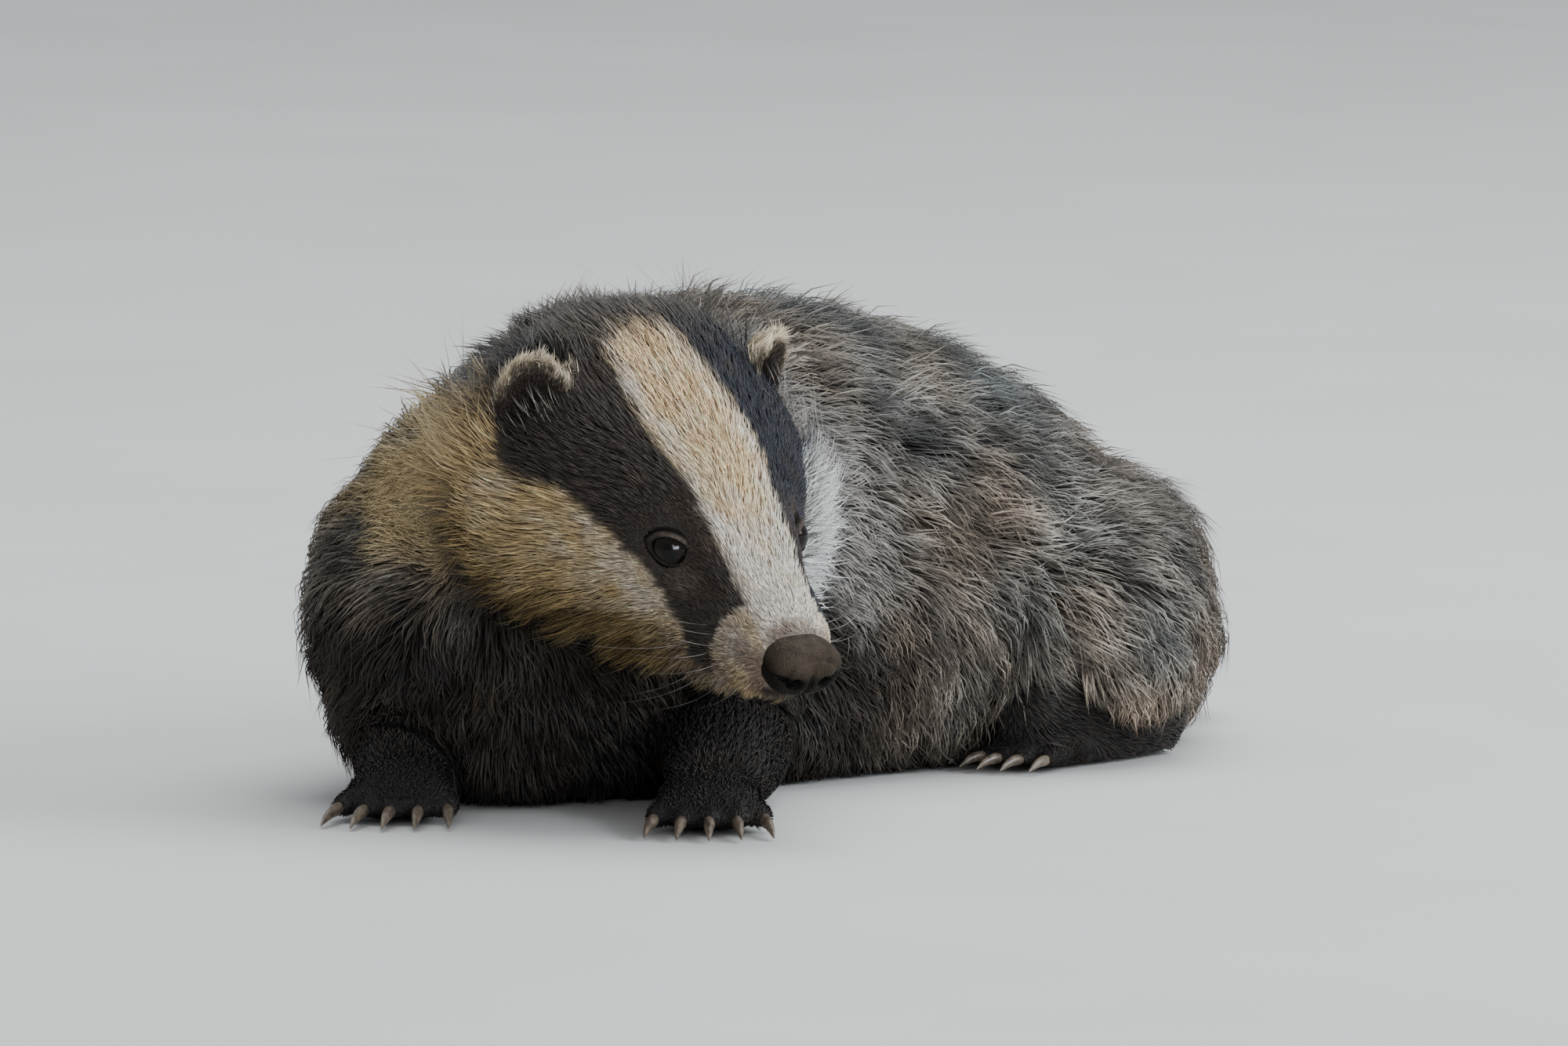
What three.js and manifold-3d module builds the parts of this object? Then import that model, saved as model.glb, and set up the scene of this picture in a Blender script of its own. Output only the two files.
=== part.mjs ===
// European badger, a half-grown animal at life size, crouched on its belly with its head turned back along its
// left flank. Millimetres, +Z up. In plan, x runs to the viewer's right and y away from the viewer.
import * as THREE from "three";
import { mergeVertices } from "three/addons/utils/BufferGeometryUtils.js";
import Module from "manifold-3d";

const wasm = await Module();
wasm.setup();

// Fit between pieces that touch, and the deepest that any form is carried below the floor before it is cut flat
const GAP = 0.3;
const FLOOR_DEPTH = 60;
const FLOOR_SPAN = 900;

// A form is a row of stations along a part of the body, each with a centre (x, y, z), a half width, a rise above
// the centre and a drop below it, measured to the skin. Squareness 2 is an ellipse, and sag widens a section below
// its centre. The ends are domed. The core is how far the solid itself stands above the skin, and the coat is how
// far its tips do. A long coat has rows of locks between two shares of the form's length and two angles round it,
// with a size and a turn down the flank as shares of the torso's.
const TORSO = {
  squareness: 2.1,
  sag: 0.1,
  rings: 11,
  sides: 16,
  dome: 22,
  core: 8,
  coat: 19,
  locks: { first: -0.85, last: 1.8, low: -34, high: 214, size: 1, turned: 1 },
  stations: [
    { x: -86, y: 20, z: 58, half: 43, rise: 37, drop: 56 },
    { x: -65, y: 46, z: 63, half: 57, rise: 49, drop: 68 },
    { x: -30, y: 86, z: 64, half: 60, rise: 63, drop: 70 },
    { x: 6, y: 126, z: 61, half: 64, rise: 62, drop: 68 },
    { x: 42, y: 159, z: 56, half: 65, rise: 51, drop: 64 },
    { x: 72, y: 182, z: 46, half: 58, rise: 33, drop: 54 },
    { x: 98, y: 196, z: 36, half: 48, rise: 19, drop: 42 },
  ],
};

// The neck is parted from the torso by a slanting plane, from the withers down to the throat.
const NECK_BASE = { x: -50, y: 25, z: 92, facing: { x: 0.2, y: -0.75, z: 0.6 } };
const NECK = {
  squareness: 2.1,
  sag: 0.04,
  rings: 5,
  sides: 16,
  dome: -14,
  core: 7,
  coat: 17,
  locks: { first: 0.1, last: 0.75, low: -50, high: 230, size: 0.8, turned: 0.6 },
  stations: [
    { x: -32, y: -16, z: 94, half: 37, rise: 32, drop: 28 },
    { x: -39, y: 0, z: 95, half: 38, rise: 34, drop: 36 },
    { x: -44, y: 18, z: 93, half: 38, rise: 38, drop: 40 },
    { x: -45, y: 42, z: 86, half: 37, rise: 45, drop: 42 },
    { x: -38, y: 66, z: 78, half: 36, rise: 53, drop: 38 },
  ],
};

// The head has its own frame: x to the animal's right, y forward from the tip of the nose, z up.
const HEAD_PLACE = { x: 15, y: -85, z: 48.5, yaw: -145, pitch: -27, roll: 2 };
const HEAD = {
  squareness: 2.25,
  sag: 0.04,
  rings: 16,
  sides: 18,
  dome: 2,
  core: 0,
  coat: 9,
  stations: [
    { x: 0, y: -5, z: -3, half: 8, rise: 7, drop: 7 },
    { x: 0, y: -12, z: -3, half: 13, rise: 12, drop: 11.5 },
    { x: 0, y: -23, z: -2.5, half: 17, rise: 15.5, drop: 16 },
    { x: 0, y: -35, z: -1, half: 20.5, rise: 19, drop: 20 },
    { x: 0, y: -47, z: 0, half: 24.5, rise: 24.5, drop: 24 },
    { x: 0, y: -61, z: 1, half: 33, rise: 31, drop: 29 },
    { x: 0, y: -77, z: 2, half: 43, rise: 35, drop: 34 },
    { x: 0, y: -93, z: 2, half: 49, rise: 39.5, drop: 36 },
    { x: 0, y: -109, z: 2, half: 48, rise: 43, drop: 35 },
    { x: 0, y: -124, z: 1, half: 40, rise: 40, drop: 28 },
  ],
  // Soft swellings and hollows of the face, alike on both sides: place along the head, angle above the widest
  // line in degrees, reach along the head, spread round it, and height
  swells: [
    { y: -45, angle: 52, reach: 8, spread: 16, height: 1.5 },
    { y: -38, angle: 24, reach: 7, spread: 16, height: -1.6 },
    { y: -50, angle: 90, reach: 12, spread: 12, height: -1.4 },
    { y: -18, angle: -14, reach: 8, spread: 26, height: 1.4 },
    { y: -62, angle: -2, reach: 10, spread: 18, height: 1.6 },
    { y: -88, angle: -20, reach: 18, spread: 26, height: 4 },
  ],
};
// Locks of the ruff, over the left cheek and over the right one
const RUFFS = [[-70, 30], [150, 250]].map(([low, high]) => ({
  ...HEAD,
  lowest: -FLOOR_DEPTH,
  dome: 50,
  locks: { first: 0.68, last: 0.72, low, high, size: 0.6, turned: 0.25 },
}));
const OCCIPUT = -108; // where the head is parted from the neck, along its y

const EYE = { y: -47.5, angle: 33, radius: 6.6, proud: 1.1, forward: 0.25 };
const LID = { wide: 5.9, high: 4.5, tube: 1.2, turns: 12, slant: 16 };
const EAR = { across: 37, y: -103, z: 26, wide: 12.8, high: 20, deep: 8.5, outward: 32, lean: 15 };
const CUP = { wide: 9.4, high: 15.5, deep: 7.5, ahead: 5.4, above: 1.4 };
const NOSE = {
  squareness: 2.5,
  sag: 0,
  rings: 4,
  sides: 12,
  dome: 0.4,
  stations: [
    { x: 0, y: -1, z: -1, half: 6.4, rise: 5, drop: 5.4 },
    { x: 0, y: -2, z: -1, half: 9.8, rise: 7.4, drop: 7.8 },
    { x: 0, y: -5, z: -1, half: 11.4, rise: 8.8, drop: 9 },
    { x: 0, y: -10, z: -1.5, half: 10.6, rise: 8.8, drop: 7 },
    { x: 0, y: -15, z: -2, half: 7, rise: 6, drop: 4 },
  ],
};
const NOSTRIL = { across: 5, z: -1, radius: 2, depth: 5, splay: 3.5 };
const MOUTH = {
  from: -8,
  corner: -49,
  angles: [-88, -66, -50, -36],
  part: 9, // degrees between the line of the mouth and the middle of a lip
  groove: 0.8,
  lip: 1.7,
  sunk: 0.55,
  taper: 0.45,
  steps: 5,
};

// Tail, laid round the far side of the rump
const TAIL = {
  squareness: 2,
  sag: 0,
  rings: 7,
  sides: 8,
  dome: 4,
  core: 4,
  coat: 9,
  locks: { first: 0.5, last: 0.85, low: -60, high: 240, size: 0.7, turned: 0.3 },
  stations: [
    { x: 100, y: 200, z: 34, half: 12, rise: 11, drop: 12 },
    { x: 116, y: 216, z: 27, half: 11, rise: 9, drop: 11 },
    { x: 121, y: 236, z: 20, half: 9, rise: 7, drop: 9 },
    { x: 110, y: 254, z: 15, half: 7, rise: 6, drop: 8 },
    { x: 90, y: 266, z: 13, half: 5, rise: 4.5, drop: 6 },
    { x: 70, y: 272, z: 11, half: 3, rise: 2.5, drop: 4 },
  ],
};

// Each limb has a frame of its own on the floor below its joint: x outward from the body, y forward, z up.
const LIMB = { squareness: 2, sag: 0, rings: 4, sides: 9, dome: 6, core: 3 };
const UPPER_ARM = {
  ...LIMB,
  core: 7,
  stations: [
    { x: -6, y: 4, z: 84, half: 18, rise: 20, drop: 20 },
    { x: 1, y: -2, z: 60, half: 22, rise: 25, drop: 25 },
    { x: 5, y: -8, z: 36, half: 18, rise: 21, drop: 21 },
    { x: 5, y: -9, z: 22, half: 12, rise: 14, drop: 14 },
  ],
};
const FOREARM = {
  ...LIMB,
  stations: [
    { x: 6, y: -14, z: 20, half: 15, rise: 16, drop: 19 },
    { x: 5, y: 6, z: 18, half: 16, rise: 17, drop: 18 },
    { x: 3, y: 28, z: 14, half: 14.5, rise: 13, drop: 13 },
    { x: 2, y: 46, z: 11, half: 12, rise: 9.5, drop: 9 },
  ],
};
const THIGH = {
  ...LIMB,
  core: 6,
  coat: 14,
  locks: { first: -0.4, last: 0.6, low: -180, high: 180, size: 0.9, turned: 0 },
  stations: [
    { x: -8, y: -8, z: 50, half: 24, rise: 24, drop: 24 },
    { x: 2, y: 5, z: 42, half: 31, rise: 33, drop: 33 },
    { x: 8, y: 24, z: 33, half: 25, rise: 26, drop: 26 },
    { x: 9, y: 38, z: 27, half: 13, rise: 15, drop: 15 },
  ],
};
const SHANK = {
  ...LIMB,
  stations: [
    { x: 10, y: 40, z: 24, half: 14, rise: 14, drop: 16 },
    { x: 11, y: 20, z: 19, half: 15, rise: 14, drop: 16 },
    { x: 12, y: 0, z: 15, half: 13, rise: 12, drop: 13 },
    { x: 12, y: -13, z: 12, half: 10, rise: 9, drop: 10 },
  ],
};
const FORE_PAW = {
  palm: [
    { x: 2, y: 38, z: 11, half: 10, rise: 8, drop: 8 },
    { x: 1, y: 50, z: 9, half: 13.5, rise: 9, drop: 10 },
    { x: 0, y: 63, z: 7, half: 16, rise: 7.5, drop: 9 },
    { x: 0, y: 72, z: 6, half: 14.5, rise: 5.5, drop: 7 },
  ],
  toe: { y: 74, z: 4.6, spacing: 7, radius: 3.9, length: 9.5, arc: 1.3, fan: 5 },
  claw: { length: 14, radius: 1.9, droop: 3.2 },
};
const HIND_PAW = {
  palm: [
    { x: 12, y: -16, z: 8, half: 9, rise: 7, drop: 9 },
    { x: 12, y: 2, z: 8, half: 11.5, rise: 8, drop: 10 },
    { x: 11, y: 24, z: 8, half: 14, rise: 8, drop: 10 },
    { x: 10, y: 42, z: 6, half: 14, rise: 6, drop: 8 },
  ],
  toe: { y: 44, z: 4.4, spacing: 6.2, radius: 3.5, length: 9, arc: 1.2, fan: 5 },
  claw: { length: 8.5, radius: 1.6, droop: 2.4 },
};
const TOES = 5;
const TOE_SHAPE = [
  { reach: -0.9, height: 1.3, size: 0.7 },
  { reach: -0.1, height: 1.15, size: 1 },
  { reach: 0.7, height: 1, size: 0.9 },
  { reach: 1, height: 0.9, size: 0.6 },
];
const CLAW_SHAPE = [
  { reach: 0, fall: 0, size: 1 },
  { reach: 0.5, fall: 0.3, size: 0.75 },
  { reach: 1, fall: 1, size: 0 },
];
const LIMBS = [
  { name: "foreleg_right", paw: "forepaw_right", side: 1, x: -92, y: 46, yaw: 172, forms: [UPPER_ARM, FOREARM] },
  { name: "foreleg_left", paw: "forepaw_left", side: -1, x: -14, y: 22, yaw: 180, forms: [UPPER_ARM, FOREARM] },
  { name: "hindleg_right", paw: "hindpaw_right", side: 1, x: 48, y: 226, yaw: 142, forms: [THIGH, SHANK] },
  { name: "hindleg_left", paw: "hindpaw_left", side: -1, x: 96, y: 140, yaw: 138, forms: [THIGH, SHANK] },
];

// A lock is flat and tapered. Rooted in the core, it rises, bends over and lies along the body, turned down the
// flank, and its row covers the roots of the next one.
const LOCK = { length: 66, width: 34, thick: 4.4, sunk: 4, beside: 38, apart: 37 };
const LOCK_SHAPE = [
  { reach: 0, lift: 0, width: 0.6, thick: 1 },
  { reach: 0.3, lift: 0.6, width: 1, thick: 0.9 },
  { reach: 0.66, lift: 0.95, width: 0.72, thick: 0.6 },
  { reach: 1, lift: 1, width: 0, thick: 0 },
];
const LIE = { along: 8, fall: 40, bend: 0.8 }; // degrees off the body's line on the back, and more down the flank
const UNEVEN = { place: 0.1, turn: 6, length: 0.14, lift: 0.16 };
const CLEAR_OF_FLOOR = 1.5;
const SEED = 7;

// Each leg is parted from the flank by an upright oval cut inward round its joint, as deep as inner.
const SHOULDER_CUT = { y: 17, z: 22, ahead: 56, high: 36, inner: -13, outer: 60 };
const HIP_CUT = { y: 12, z: 26, ahead: 46, high: 40, inner: -14, outer: 60 };
const TAIL_MARGIN = 1; // how far the cut round the tail stands off its coat, where it leaves the body

// Value at u, from 0 to 1, of a smooth curve through evenly spaced values
function spline(values, u) {
  const last = values.length - 1;
  const place = THREE.MathUtils.clamp(u, 0, 1) * last;
  const i = Math.min(Math.floor(place), last - 1);
  const t = place - i;
  const b = values[i];
  const c = values[i + 1];
  const a = i > 0 ? values[i - 1] : 2 * b - c;
  const d = i + 2 <= last ? values[i + 2] : 2 * c - b;
  return b + (t / 2) * (c - a + t * (2 * a - 5 * b + 4 * c - d + t * (3 * (b - c) + d - a)));
}

const read = (form, name, u) => spline(form.stations.map((station) => station[name]), u);
const centreAt = (form, u) => new THREE.Vector3(read(form, "x", u), read(form, "y", u), read(form, "z", u));
const STEP = 0.01;
const UP = new THREE.Vector3(0, 0, 1);
const FORWARD = new THREE.Vector3(0, 1, 0);

// Frame and sizes of a form's section at u: ahead runs along the form, across to the side, above upward
function sectionAt(form, u) {
  const low = THREE.MathUtils.clamp(u, STEP, 1 - STEP);
  const ahead = centreAt(form, low + STEP).sub(centreAt(form, low - STEP)).normalize();
  const hint = Math.abs(ahead.z) > 0.8 ? FORWARD : UP;
  const across = ahead.clone().cross(hint).normalize();
  const above = across.clone().cross(ahead);
  return {
    centre: centreAt(form, u),
    ahead,
    across,
    above,
    half: read(form, "half", u),
    rise: read(form, "rise", u),
    drop: read(form, "drop", u),
  };
}

const power = (value, exponent) => Math.sign(value) * Math.abs(value) ** exponent;
const bell = (distance, width) => Math.exp(-((distance / width) ** 2));

// Height of the swellings at a place on a form, the angle measured from the widest line on either side
function swellAt(form, y, angle) {
  const degrees = THREE.MathUtils.radToDeg(Math.asin(Math.sin(angle)));
  return (form.swells ?? []).reduce(
    (sum, s) => sum + s.height * bell(y - s.y, s.reach) * bell(degrees - s.angle, s.spread),
    0,
  );
}

// Point of a form's surface at u along it and at an angle round it, 0 to the animal's left and 90 degrees on top.
// From 0 down to -1 and from 1 up to 2, u runs over the dome of that end to its pole.
function pointOn(form, u, angle, grow = 0) {
  const s = sectionAt(form, u);
  const cos = Math.cos(angle);
  const sin = Math.sin(angle);
  const exponent = 2 / form.squareness;
  const side = power(cos, exponent) * (s.half + grow) * (1 - form.sag * sin);
  const height = power(sin, exponent) * ((sin > 0 ? s.rise : s.drop) + grow);
  const out = s.across.clone().multiplyScalar(side).addScaledVector(s.above, height);
  out.setLength(out.length() + swellAt(form, s.centre.y, angle));
  const past = ((u - THREE.MathUtils.clamp(u, 0, 1)) * Math.PI) / 2;
  const dome = s.ahead.multiplyScalar((form.dome + grow) * Math.sin(past));
  return out.multiplyScalar(Math.cos(past)).add(s.centre).add(dome);
}

// Steps of a form's surface along it and round it, each for a small change of u or angle, and its outward normal
function stepsOn(form, u, angle, grow = 0) {
  const along = pointOn(form, u + STEP, angle, grow).sub(pointOn(form, u - STEP, angle, grow));
  const round = pointOn(form, u, angle + STEP, grow).sub(pointOn(form, u, angle - STEP, grow));
  return { along, round, normal: along.clone().cross(round).normalize() };
}
const normalOn = (form, u, angle) => stepsOn(form, u, angle).normal;

// Share of a form's length at which its centre reaches a given y
function shareAt(form, y) {
  let low = 0;
  let high = 1;
  const falling = read(form, "y", 0) > read(form, "y", 1);
  for (let i = 0; i < 24; i++) {
    const middle = (low + high) / 2;
    if (read(form, "y", middle) > y === falling) low = middle;
    else high = middle;
  }
  return (low + high) / 2;
}

// Solid from points and triangles, turned inside out if its faces point inwards
function solidOf(points, faces) {
  const vertProperties = new Float32Array(points.flatMap((p) => [p.x, p.y, p.z]));
  const volume = faces.reduce(
    (sum, [a, b, c]) => sum + points[a].dot(new THREE.Vector3().crossVectors(points[b], points[c])),
    0,
  );
  const outward = volume < 0 ? faces.map(([a, b, c]) => [a, c, b]) : faces;
  const mesh = new wasm.Mesh({ numProp: 3, vertProperties, triVerts: new Uint32Array(outward.flat()) });
  return new wasm.Manifold(mesh);
}

// Solid of one of three's closed geometries, moved by a matrix
function solidFrom(geometry, matrix) {
  geometry.deleteAttribute("normal");
  geometry.deleteAttribute("uv");
  const merged = mergeVertices(geometry.applyMatrix4(matrix), 1e-4);
  const position = merged.attributes.position;
  const pointAt = (_, i) => new THREE.Vector3().fromBufferAttribute(position, i);
  const points = Array.from({ length: position.count }, pointAt);
  const corners = merged.index.array;
  const faces = [];
  for (let i = 0; i < corners.length; i += 3) faces.push([corners[i], corners[i + 1], corners[i + 2]]);
  return solidOf(points, faces);
}

// Solid through a row of rings of points. A ring of one point is a tip, a loop joins the last ring to the first,
// and the other ends are closed at their middle, pushed out by the dome.
function solidThrough(rings, { loop = false, dome = 0 } = {}) {
  const points = rings.flat();
  const starts = rings.map((_, i) => rings.slice(0, i).reduce((sum, ring) => sum + ring.length, 0));
  const faces = [];
  const count = loop ? rings.length : rings.length - 1;
  for (let i = 0; i < count; i++) {
    const next = (i + 1) % rings.length;
    const sides = Math.max(rings[i].length, rings[next].length);
    for (let k = 0; k < sides; k++) {
      const a = starts[i] + (k % rings[i].length);
      const b = starts[i] + ((k + 1) % rings[i].length);
      const c = starts[next] + ((k + 1) % rings[next].length);
      const d = starts[next] + (k % rings[next].length);
      if (a !== b) faces.push([a, b, c]);
      if (c !== d) faces.push([a, c, d]);
    }
  }
  if (loop) return solidOf(points, faces);
  const middle = (ring) => ring.reduce((sum, p) => sum.add(p), new THREE.Vector3()).divideScalar(ring.length);
  for (const [end, beside] of [[0, 1], [rings.length - 1, rings.length - 2]]) {
    const ring = rings[end];
    if (ring.length === 1) continue;
    const centre = middle(ring);
    const outward = centre.clone().sub(middle(rings[beside]));
    const pole = points.push(centre.addScaledVector(outward.normalize(), dome)) - 1;
    ring.forEach((_, k) => {
      const a = starts[end] + k;
      const b = starts[end] + ((k + 1) % ring.length);
      faces.push(end === 0 ? [b, a, pole] : [a, b, pole]);
    });
  }
  return solidOf(points, faces);
}

// Solid of a form, with its domed ends
const DOME_TURNS = [0.45, 0.78];
function formSolid(form, grow = 0) {
  const angles = Array.from({ length: form.sides }, (_, k) => (2 * Math.PI * k) / form.sides);
  const places = [
    ...DOME_TURNS.toReversed().map((past) => -past),
    ...Array.from({ length: form.rings + 1 }, (_, i) => i / form.rings),
    ...DOME_TURNS.map((past) => 1 + past),
  ];
  const rings = places.map((u) => angles.map((angle) => pointOn(form, u, angle, grow)));
  const poleShare = 1 - Math.sin((DOME_TURNS.at(-1) * Math.PI) / 2);
  return solidThrough(rings, { dome: (form.dome + grow) * poleShare });
}

// Tube along a row of points with a radius at each, open curve or closed loop
function tube(path, radii, sides, loop = false) {
  const rings = path.map((point, i) => {
    const before = path[loop ? (i + path.length - 1) % path.length : Math.max(i - 1, 0)];
    const after = path[loop ? (i + 1) % path.length : Math.min(i + 1, path.length - 1)];
    const ahead = after.clone().sub(before).normalize();
    const across = ahead.clone().cross(Math.abs(ahead.z) > 0.8 ? FORWARD : UP).normalize();
    const above = across.clone().cross(ahead);
    if (radii[i] === 0) return [point.clone()];
    return Array.from({ length: sides }, (_, k) => {
      const turn = (2 * Math.PI * k) / sides;
      return point
        .clone()
        .addScaledVector(across, radii[i] * Math.cos(turn))
        .addScaledVector(above, radii[i] * Math.sin(turn));
    });
  });
  return solidThrough(rings, { loop });
}

const placed = (x, y, z, turn, sizes) =>
  new THREE.Matrix4().compose(
    new THREE.Vector3(x, y, z),
    new THREE.Quaternion().setFromEuler(turn),
    new THREE.Vector3(...sizes),
  );
const ball = (matrix, around, rows) => solidFrom(new THREE.SphereGeometry(1, around, rows), matrix);
const joined = (solids) => wasm.Manifold.union(solids);

// Half-space on the far side of a plane, as a large box
function beyond(point, normal) {
  const turn = new THREE.Quaternion().setFromUnitVectors(UP, normal.clone().normalize());
  const centre = point.clone().addScaledVector(normal.clone().normalize(), FLOOR_SPAN / 2);
  const matrix = new THREE.Matrix4().compose(centre, turn, new THREE.Vector3(1, 1, 1));
  return solidFrom(new THREE.BoxGeometry(FLOOR_SPAN, FLOOR_SPAN, FLOOR_SPAN), matrix);
}
const belowFloor = () => {
  const matrix = new THREE.Matrix4().makeTranslation(0, 0, -FLOOR_DEPTH / 2);
  return solidFrom(new THREE.BoxGeometry(FLOOR_SPAN, FLOOR_SPAN, FLOOR_DEPTH), matrix);
};

const degrees = THREE.MathUtils.degToRad;
const moved = (solid, matrix) => solid.transform([...matrix.elements]);

// Repeatable random numbers between -1 and 1
function unevenness(seed) {
  let state = seed;
  return () => {
    state = (state + 0x6d2b79f5) | 0;
    let mixed = Math.imul(state ^ (state >>> 15), 1 | state);
    mixed = (mixed + Math.imul(mixed ^ (mixed >>> 7), 61 | mixed)) ^ mixed;
    return ((mixed ^ (mixed >>> 14)) >>> 0) / 2 ** 31 - 1;
  };
}

// Locks of a form, row by row along it, each with the place of its root and its own turn, length and lift
function lockPlaces(form, seed) {
  const { first, last, low, high, size } = form.locks;
  const middle = degrees((low + high) / 2);
  const random = unevenness(seed);
  const places = [];
  let odd = false;
  let gap = 0;
  let before = first;
  for (let u = first; u < last; u += STEP) {
    const gone = pointOn(form, u, middle, form.core).distanceTo(pointOn(form, before, middle, form.core));
    before = u;
    gap -= gone;
    if (gap > 0) continue;
    gap = LOCK.apart * size;
    odd = !odd;
    const radius = stepsOn(form, u, middle, form.core).round.length() / (2 * STEP);
    const count = Math.max(Math.round((radius * degrees(high - low)) / (LOCK.beside * size)), 3);
    for (let k = 0; k < count; k++) {
      const share = (k + (odd ? 0.75 : 0.25) + random() * UNEVEN.place) / count;
      places.push({
        u: u + STEP * random(),
        angle: degrees(THREE.MathUtils.lerp(low, high, share)),
        turn: degrees(random() * UNEVEN.turn),
        length: LOCK.length * size * (1 + random() * UNEVEN.length),
        lift: 1 - Math.abs(random()) * UNEVEN.lift,
      });
    }
  }
  return places;
}

// One lock, laid over the form's surface step by step from its root
function lockSolid(form, place, grow = 0) {
  let { u, angle } = place;
  let gone = 0;
  const { size, turned } = form.locks;
  const fall = degrees(LIE.along + LIE.fall * (1 - Math.sin(angle)) ** LIE.bend) * turned;
  const heading = place.turn - Math.sign(Math.cos(angle)) * fall;
  const rings = LOCK_SHAPE.map(({ reach, lift, width, thick }) => {
    const start = stepsOn(form, u, angle, form.core);
    const step = reach * place.length + (width ? 0 : 2 * grow) - gone;
    gone += step;
    u += (step * Math.cos(heading) * 2 * STEP) / start.along.length();
    angle += (step * Math.sin(heading) * 2 * STEP) / start.round.length();
    const { along, round, normal } = stepsOn(form, u, angle, form.core);
    const ahead = along.setLength(Math.cos(heading)).addScaledVector(round.normalize(), Math.sin(heading));
    const across = ahead.cross(normal).normalize();
    const height = lift * place.lift * (form.coat - form.core) - (1 - lift) * LOCK.sunk;
    const centre = pointOn(form, u, angle, form.core);
    centre.addScaledVector(normal, height - (thick * LOCK.thick) / 2);
    centre.z = Math.max(centre.z, form.lowest ?? CLEAR_OF_FLOOR);
    const half = (width * LOCK.width * size) / 2 + grow;
    const deep = (thick * LOCK.thick) / 2 + grow;
    if (half === 0) return [centre];
    const edge = grow ? [-deep, 2 * grow - deep] : [-deep];
    const section = [...edge.map((out) => [half, out]), [0, deep], ...edge.toReversed().map((out) => [-half, out])];
    return section.map(([side, out]) => centre.clone().addScaledVector(across, side).addScaledVector(normal, out));
  });
  return solidThrough(rings, { dome: 0 });
}

// Head pieces, all in the head's frame; side is 1 on the animal's right and -1 on its left
const faceAngle = (side, angle) => (side > 0 ? Math.PI - degrees(angle) : degrees(angle));

function eyeFrame(side) {
  const u = shareAt(HEAD, EYE.y);
  const angle = faceAngle(side, EYE.angle);
  const out = normalOn(HEAD, u, angle).addScaledVector(FORWARD, EYE.forward).normalize();
  const centre = pointOn(HEAD, u, angle).addScaledVector(out, EYE.proud - EYE.radius);
  const along = FORWARD.clone().addScaledVector(out, -out.y).normalize();
  const above = along.clone().cross(out).multiplyScalar(side);
  return { centre, out, along, above };
}

function eyeBall(side, grow = 0) {
  const { centre } = eyeFrame(side);
  const size = EYE.radius + grow;
  return ball(placed(centre.x, centre.y, centre.z, new THREE.Euler(), [size, size, size]), 10, 6);
}

// Rim of the lids: an almond drawn on the ball's surface, tilted down towards the nose
function lids(side) {
  const { centre, out, along, above } = eyeFrame(side);
  const path = Array.from({ length: LID.turns }, (_, k) => {
    const turn = (2 * Math.PI * k) / LID.turns;
    const length = LID.wide * Math.cos(turn);
    const height = LID.high * power(Math.sin(turn), 1.3);
    const slant = degrees(LID.slant);
    const forth = length * Math.cos(slant) + height * Math.sin(slant);
    const up = height * Math.cos(slant) - length * Math.sin(slant);
    const reach = Math.sqrt(Math.max((EYE.radius + GAP + LID.tube / 2) ** 2 - forth ** 2 - up ** 2, 0));
    const point = centre.clone().addScaledVector(out, reach);
    return point.addScaledVector(along, forth).addScaledVector(above, up);
  });
  return tube(path, path.map(() => LID.tube), 4, true);
}

function ear(side, grow = 0) {
  const turn = new THREE.Euler(0, degrees(EAR.lean) * side, -degrees(EAR.outward) * side, "ZYX");
  const sizes = [EAR.wide + grow, EAR.deep + grow, EAR.high + grow];
  const leaf = ball(placed(EAR.across * side, EAR.y, EAR.z, turn, sizes), 12, 6);
  if (grow) return leaf;
  const shift = new THREE.Vector3(0, CUP.ahead, CUP.above).applyEuler(turn);
  const x = EAR.across * side + shift.x;
  const hollow = placed(x, EAR.y + shift.y, EAR.z + shift.z, turn, [CUP.wide, CUP.deep, CUP.high]);
  return leaf.subtract(ball(hollow, 10, 6));
}

function nosePad() {
  const pad = formSolid(NOSE);
  const holes = [-1, 1].map((side) => {
    const reaches = [1, 0, -0.45, -1];
    const radii = [0.9, 1, 0.75, 0.3].map((share) => share * NOSTRIL.radius);
    const path = reaches.map((reach) => {
      const inward = Math.max(-reach, 0) * NOSTRIL.splay;
      return new THREE.Vector3((NOSTRIL.across - inward) * side, reach * NOSTRIL.depth, NOSTRIL.z);
    });
    return tube(path, radii, 6);
  });
  return holes.reduce((solid, hole) => solid.subtract(hole), pad);
}

// The mouth on one side, from under the nose to its corner, as points raised or lowered round the muzzle
function mouthPath(side, turn, sunk) {
  return Array.from({ length: MOUTH.steps + 1 }, (_, i) => {
    const t = i / MOUTH.steps;
    const u = shareAt(HEAD, MOUTH.from + (MOUTH.corner - MOUTH.from) * t);
    const angle = faceAngle(side, spline(MOUTH.angles, t) + turn);
    return pointOn(HEAD, u, angle).addScaledVector(normalOn(HEAD, u, angle), -sunk);
  });
}

const behindHead = (grow) => beyond(new THREE.Vector3(0, OCCIPUT - grow, 0), FORWARD.clone().negate());
const locksOf = (form, seed, grow) => lockPlaces(form, seed).map((place) => lockSolid(form, place, grow));
const ruff = (grow) => RUFFS.flatMap((form, i) => locksOf(form, SEED + i, grow));

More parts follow.
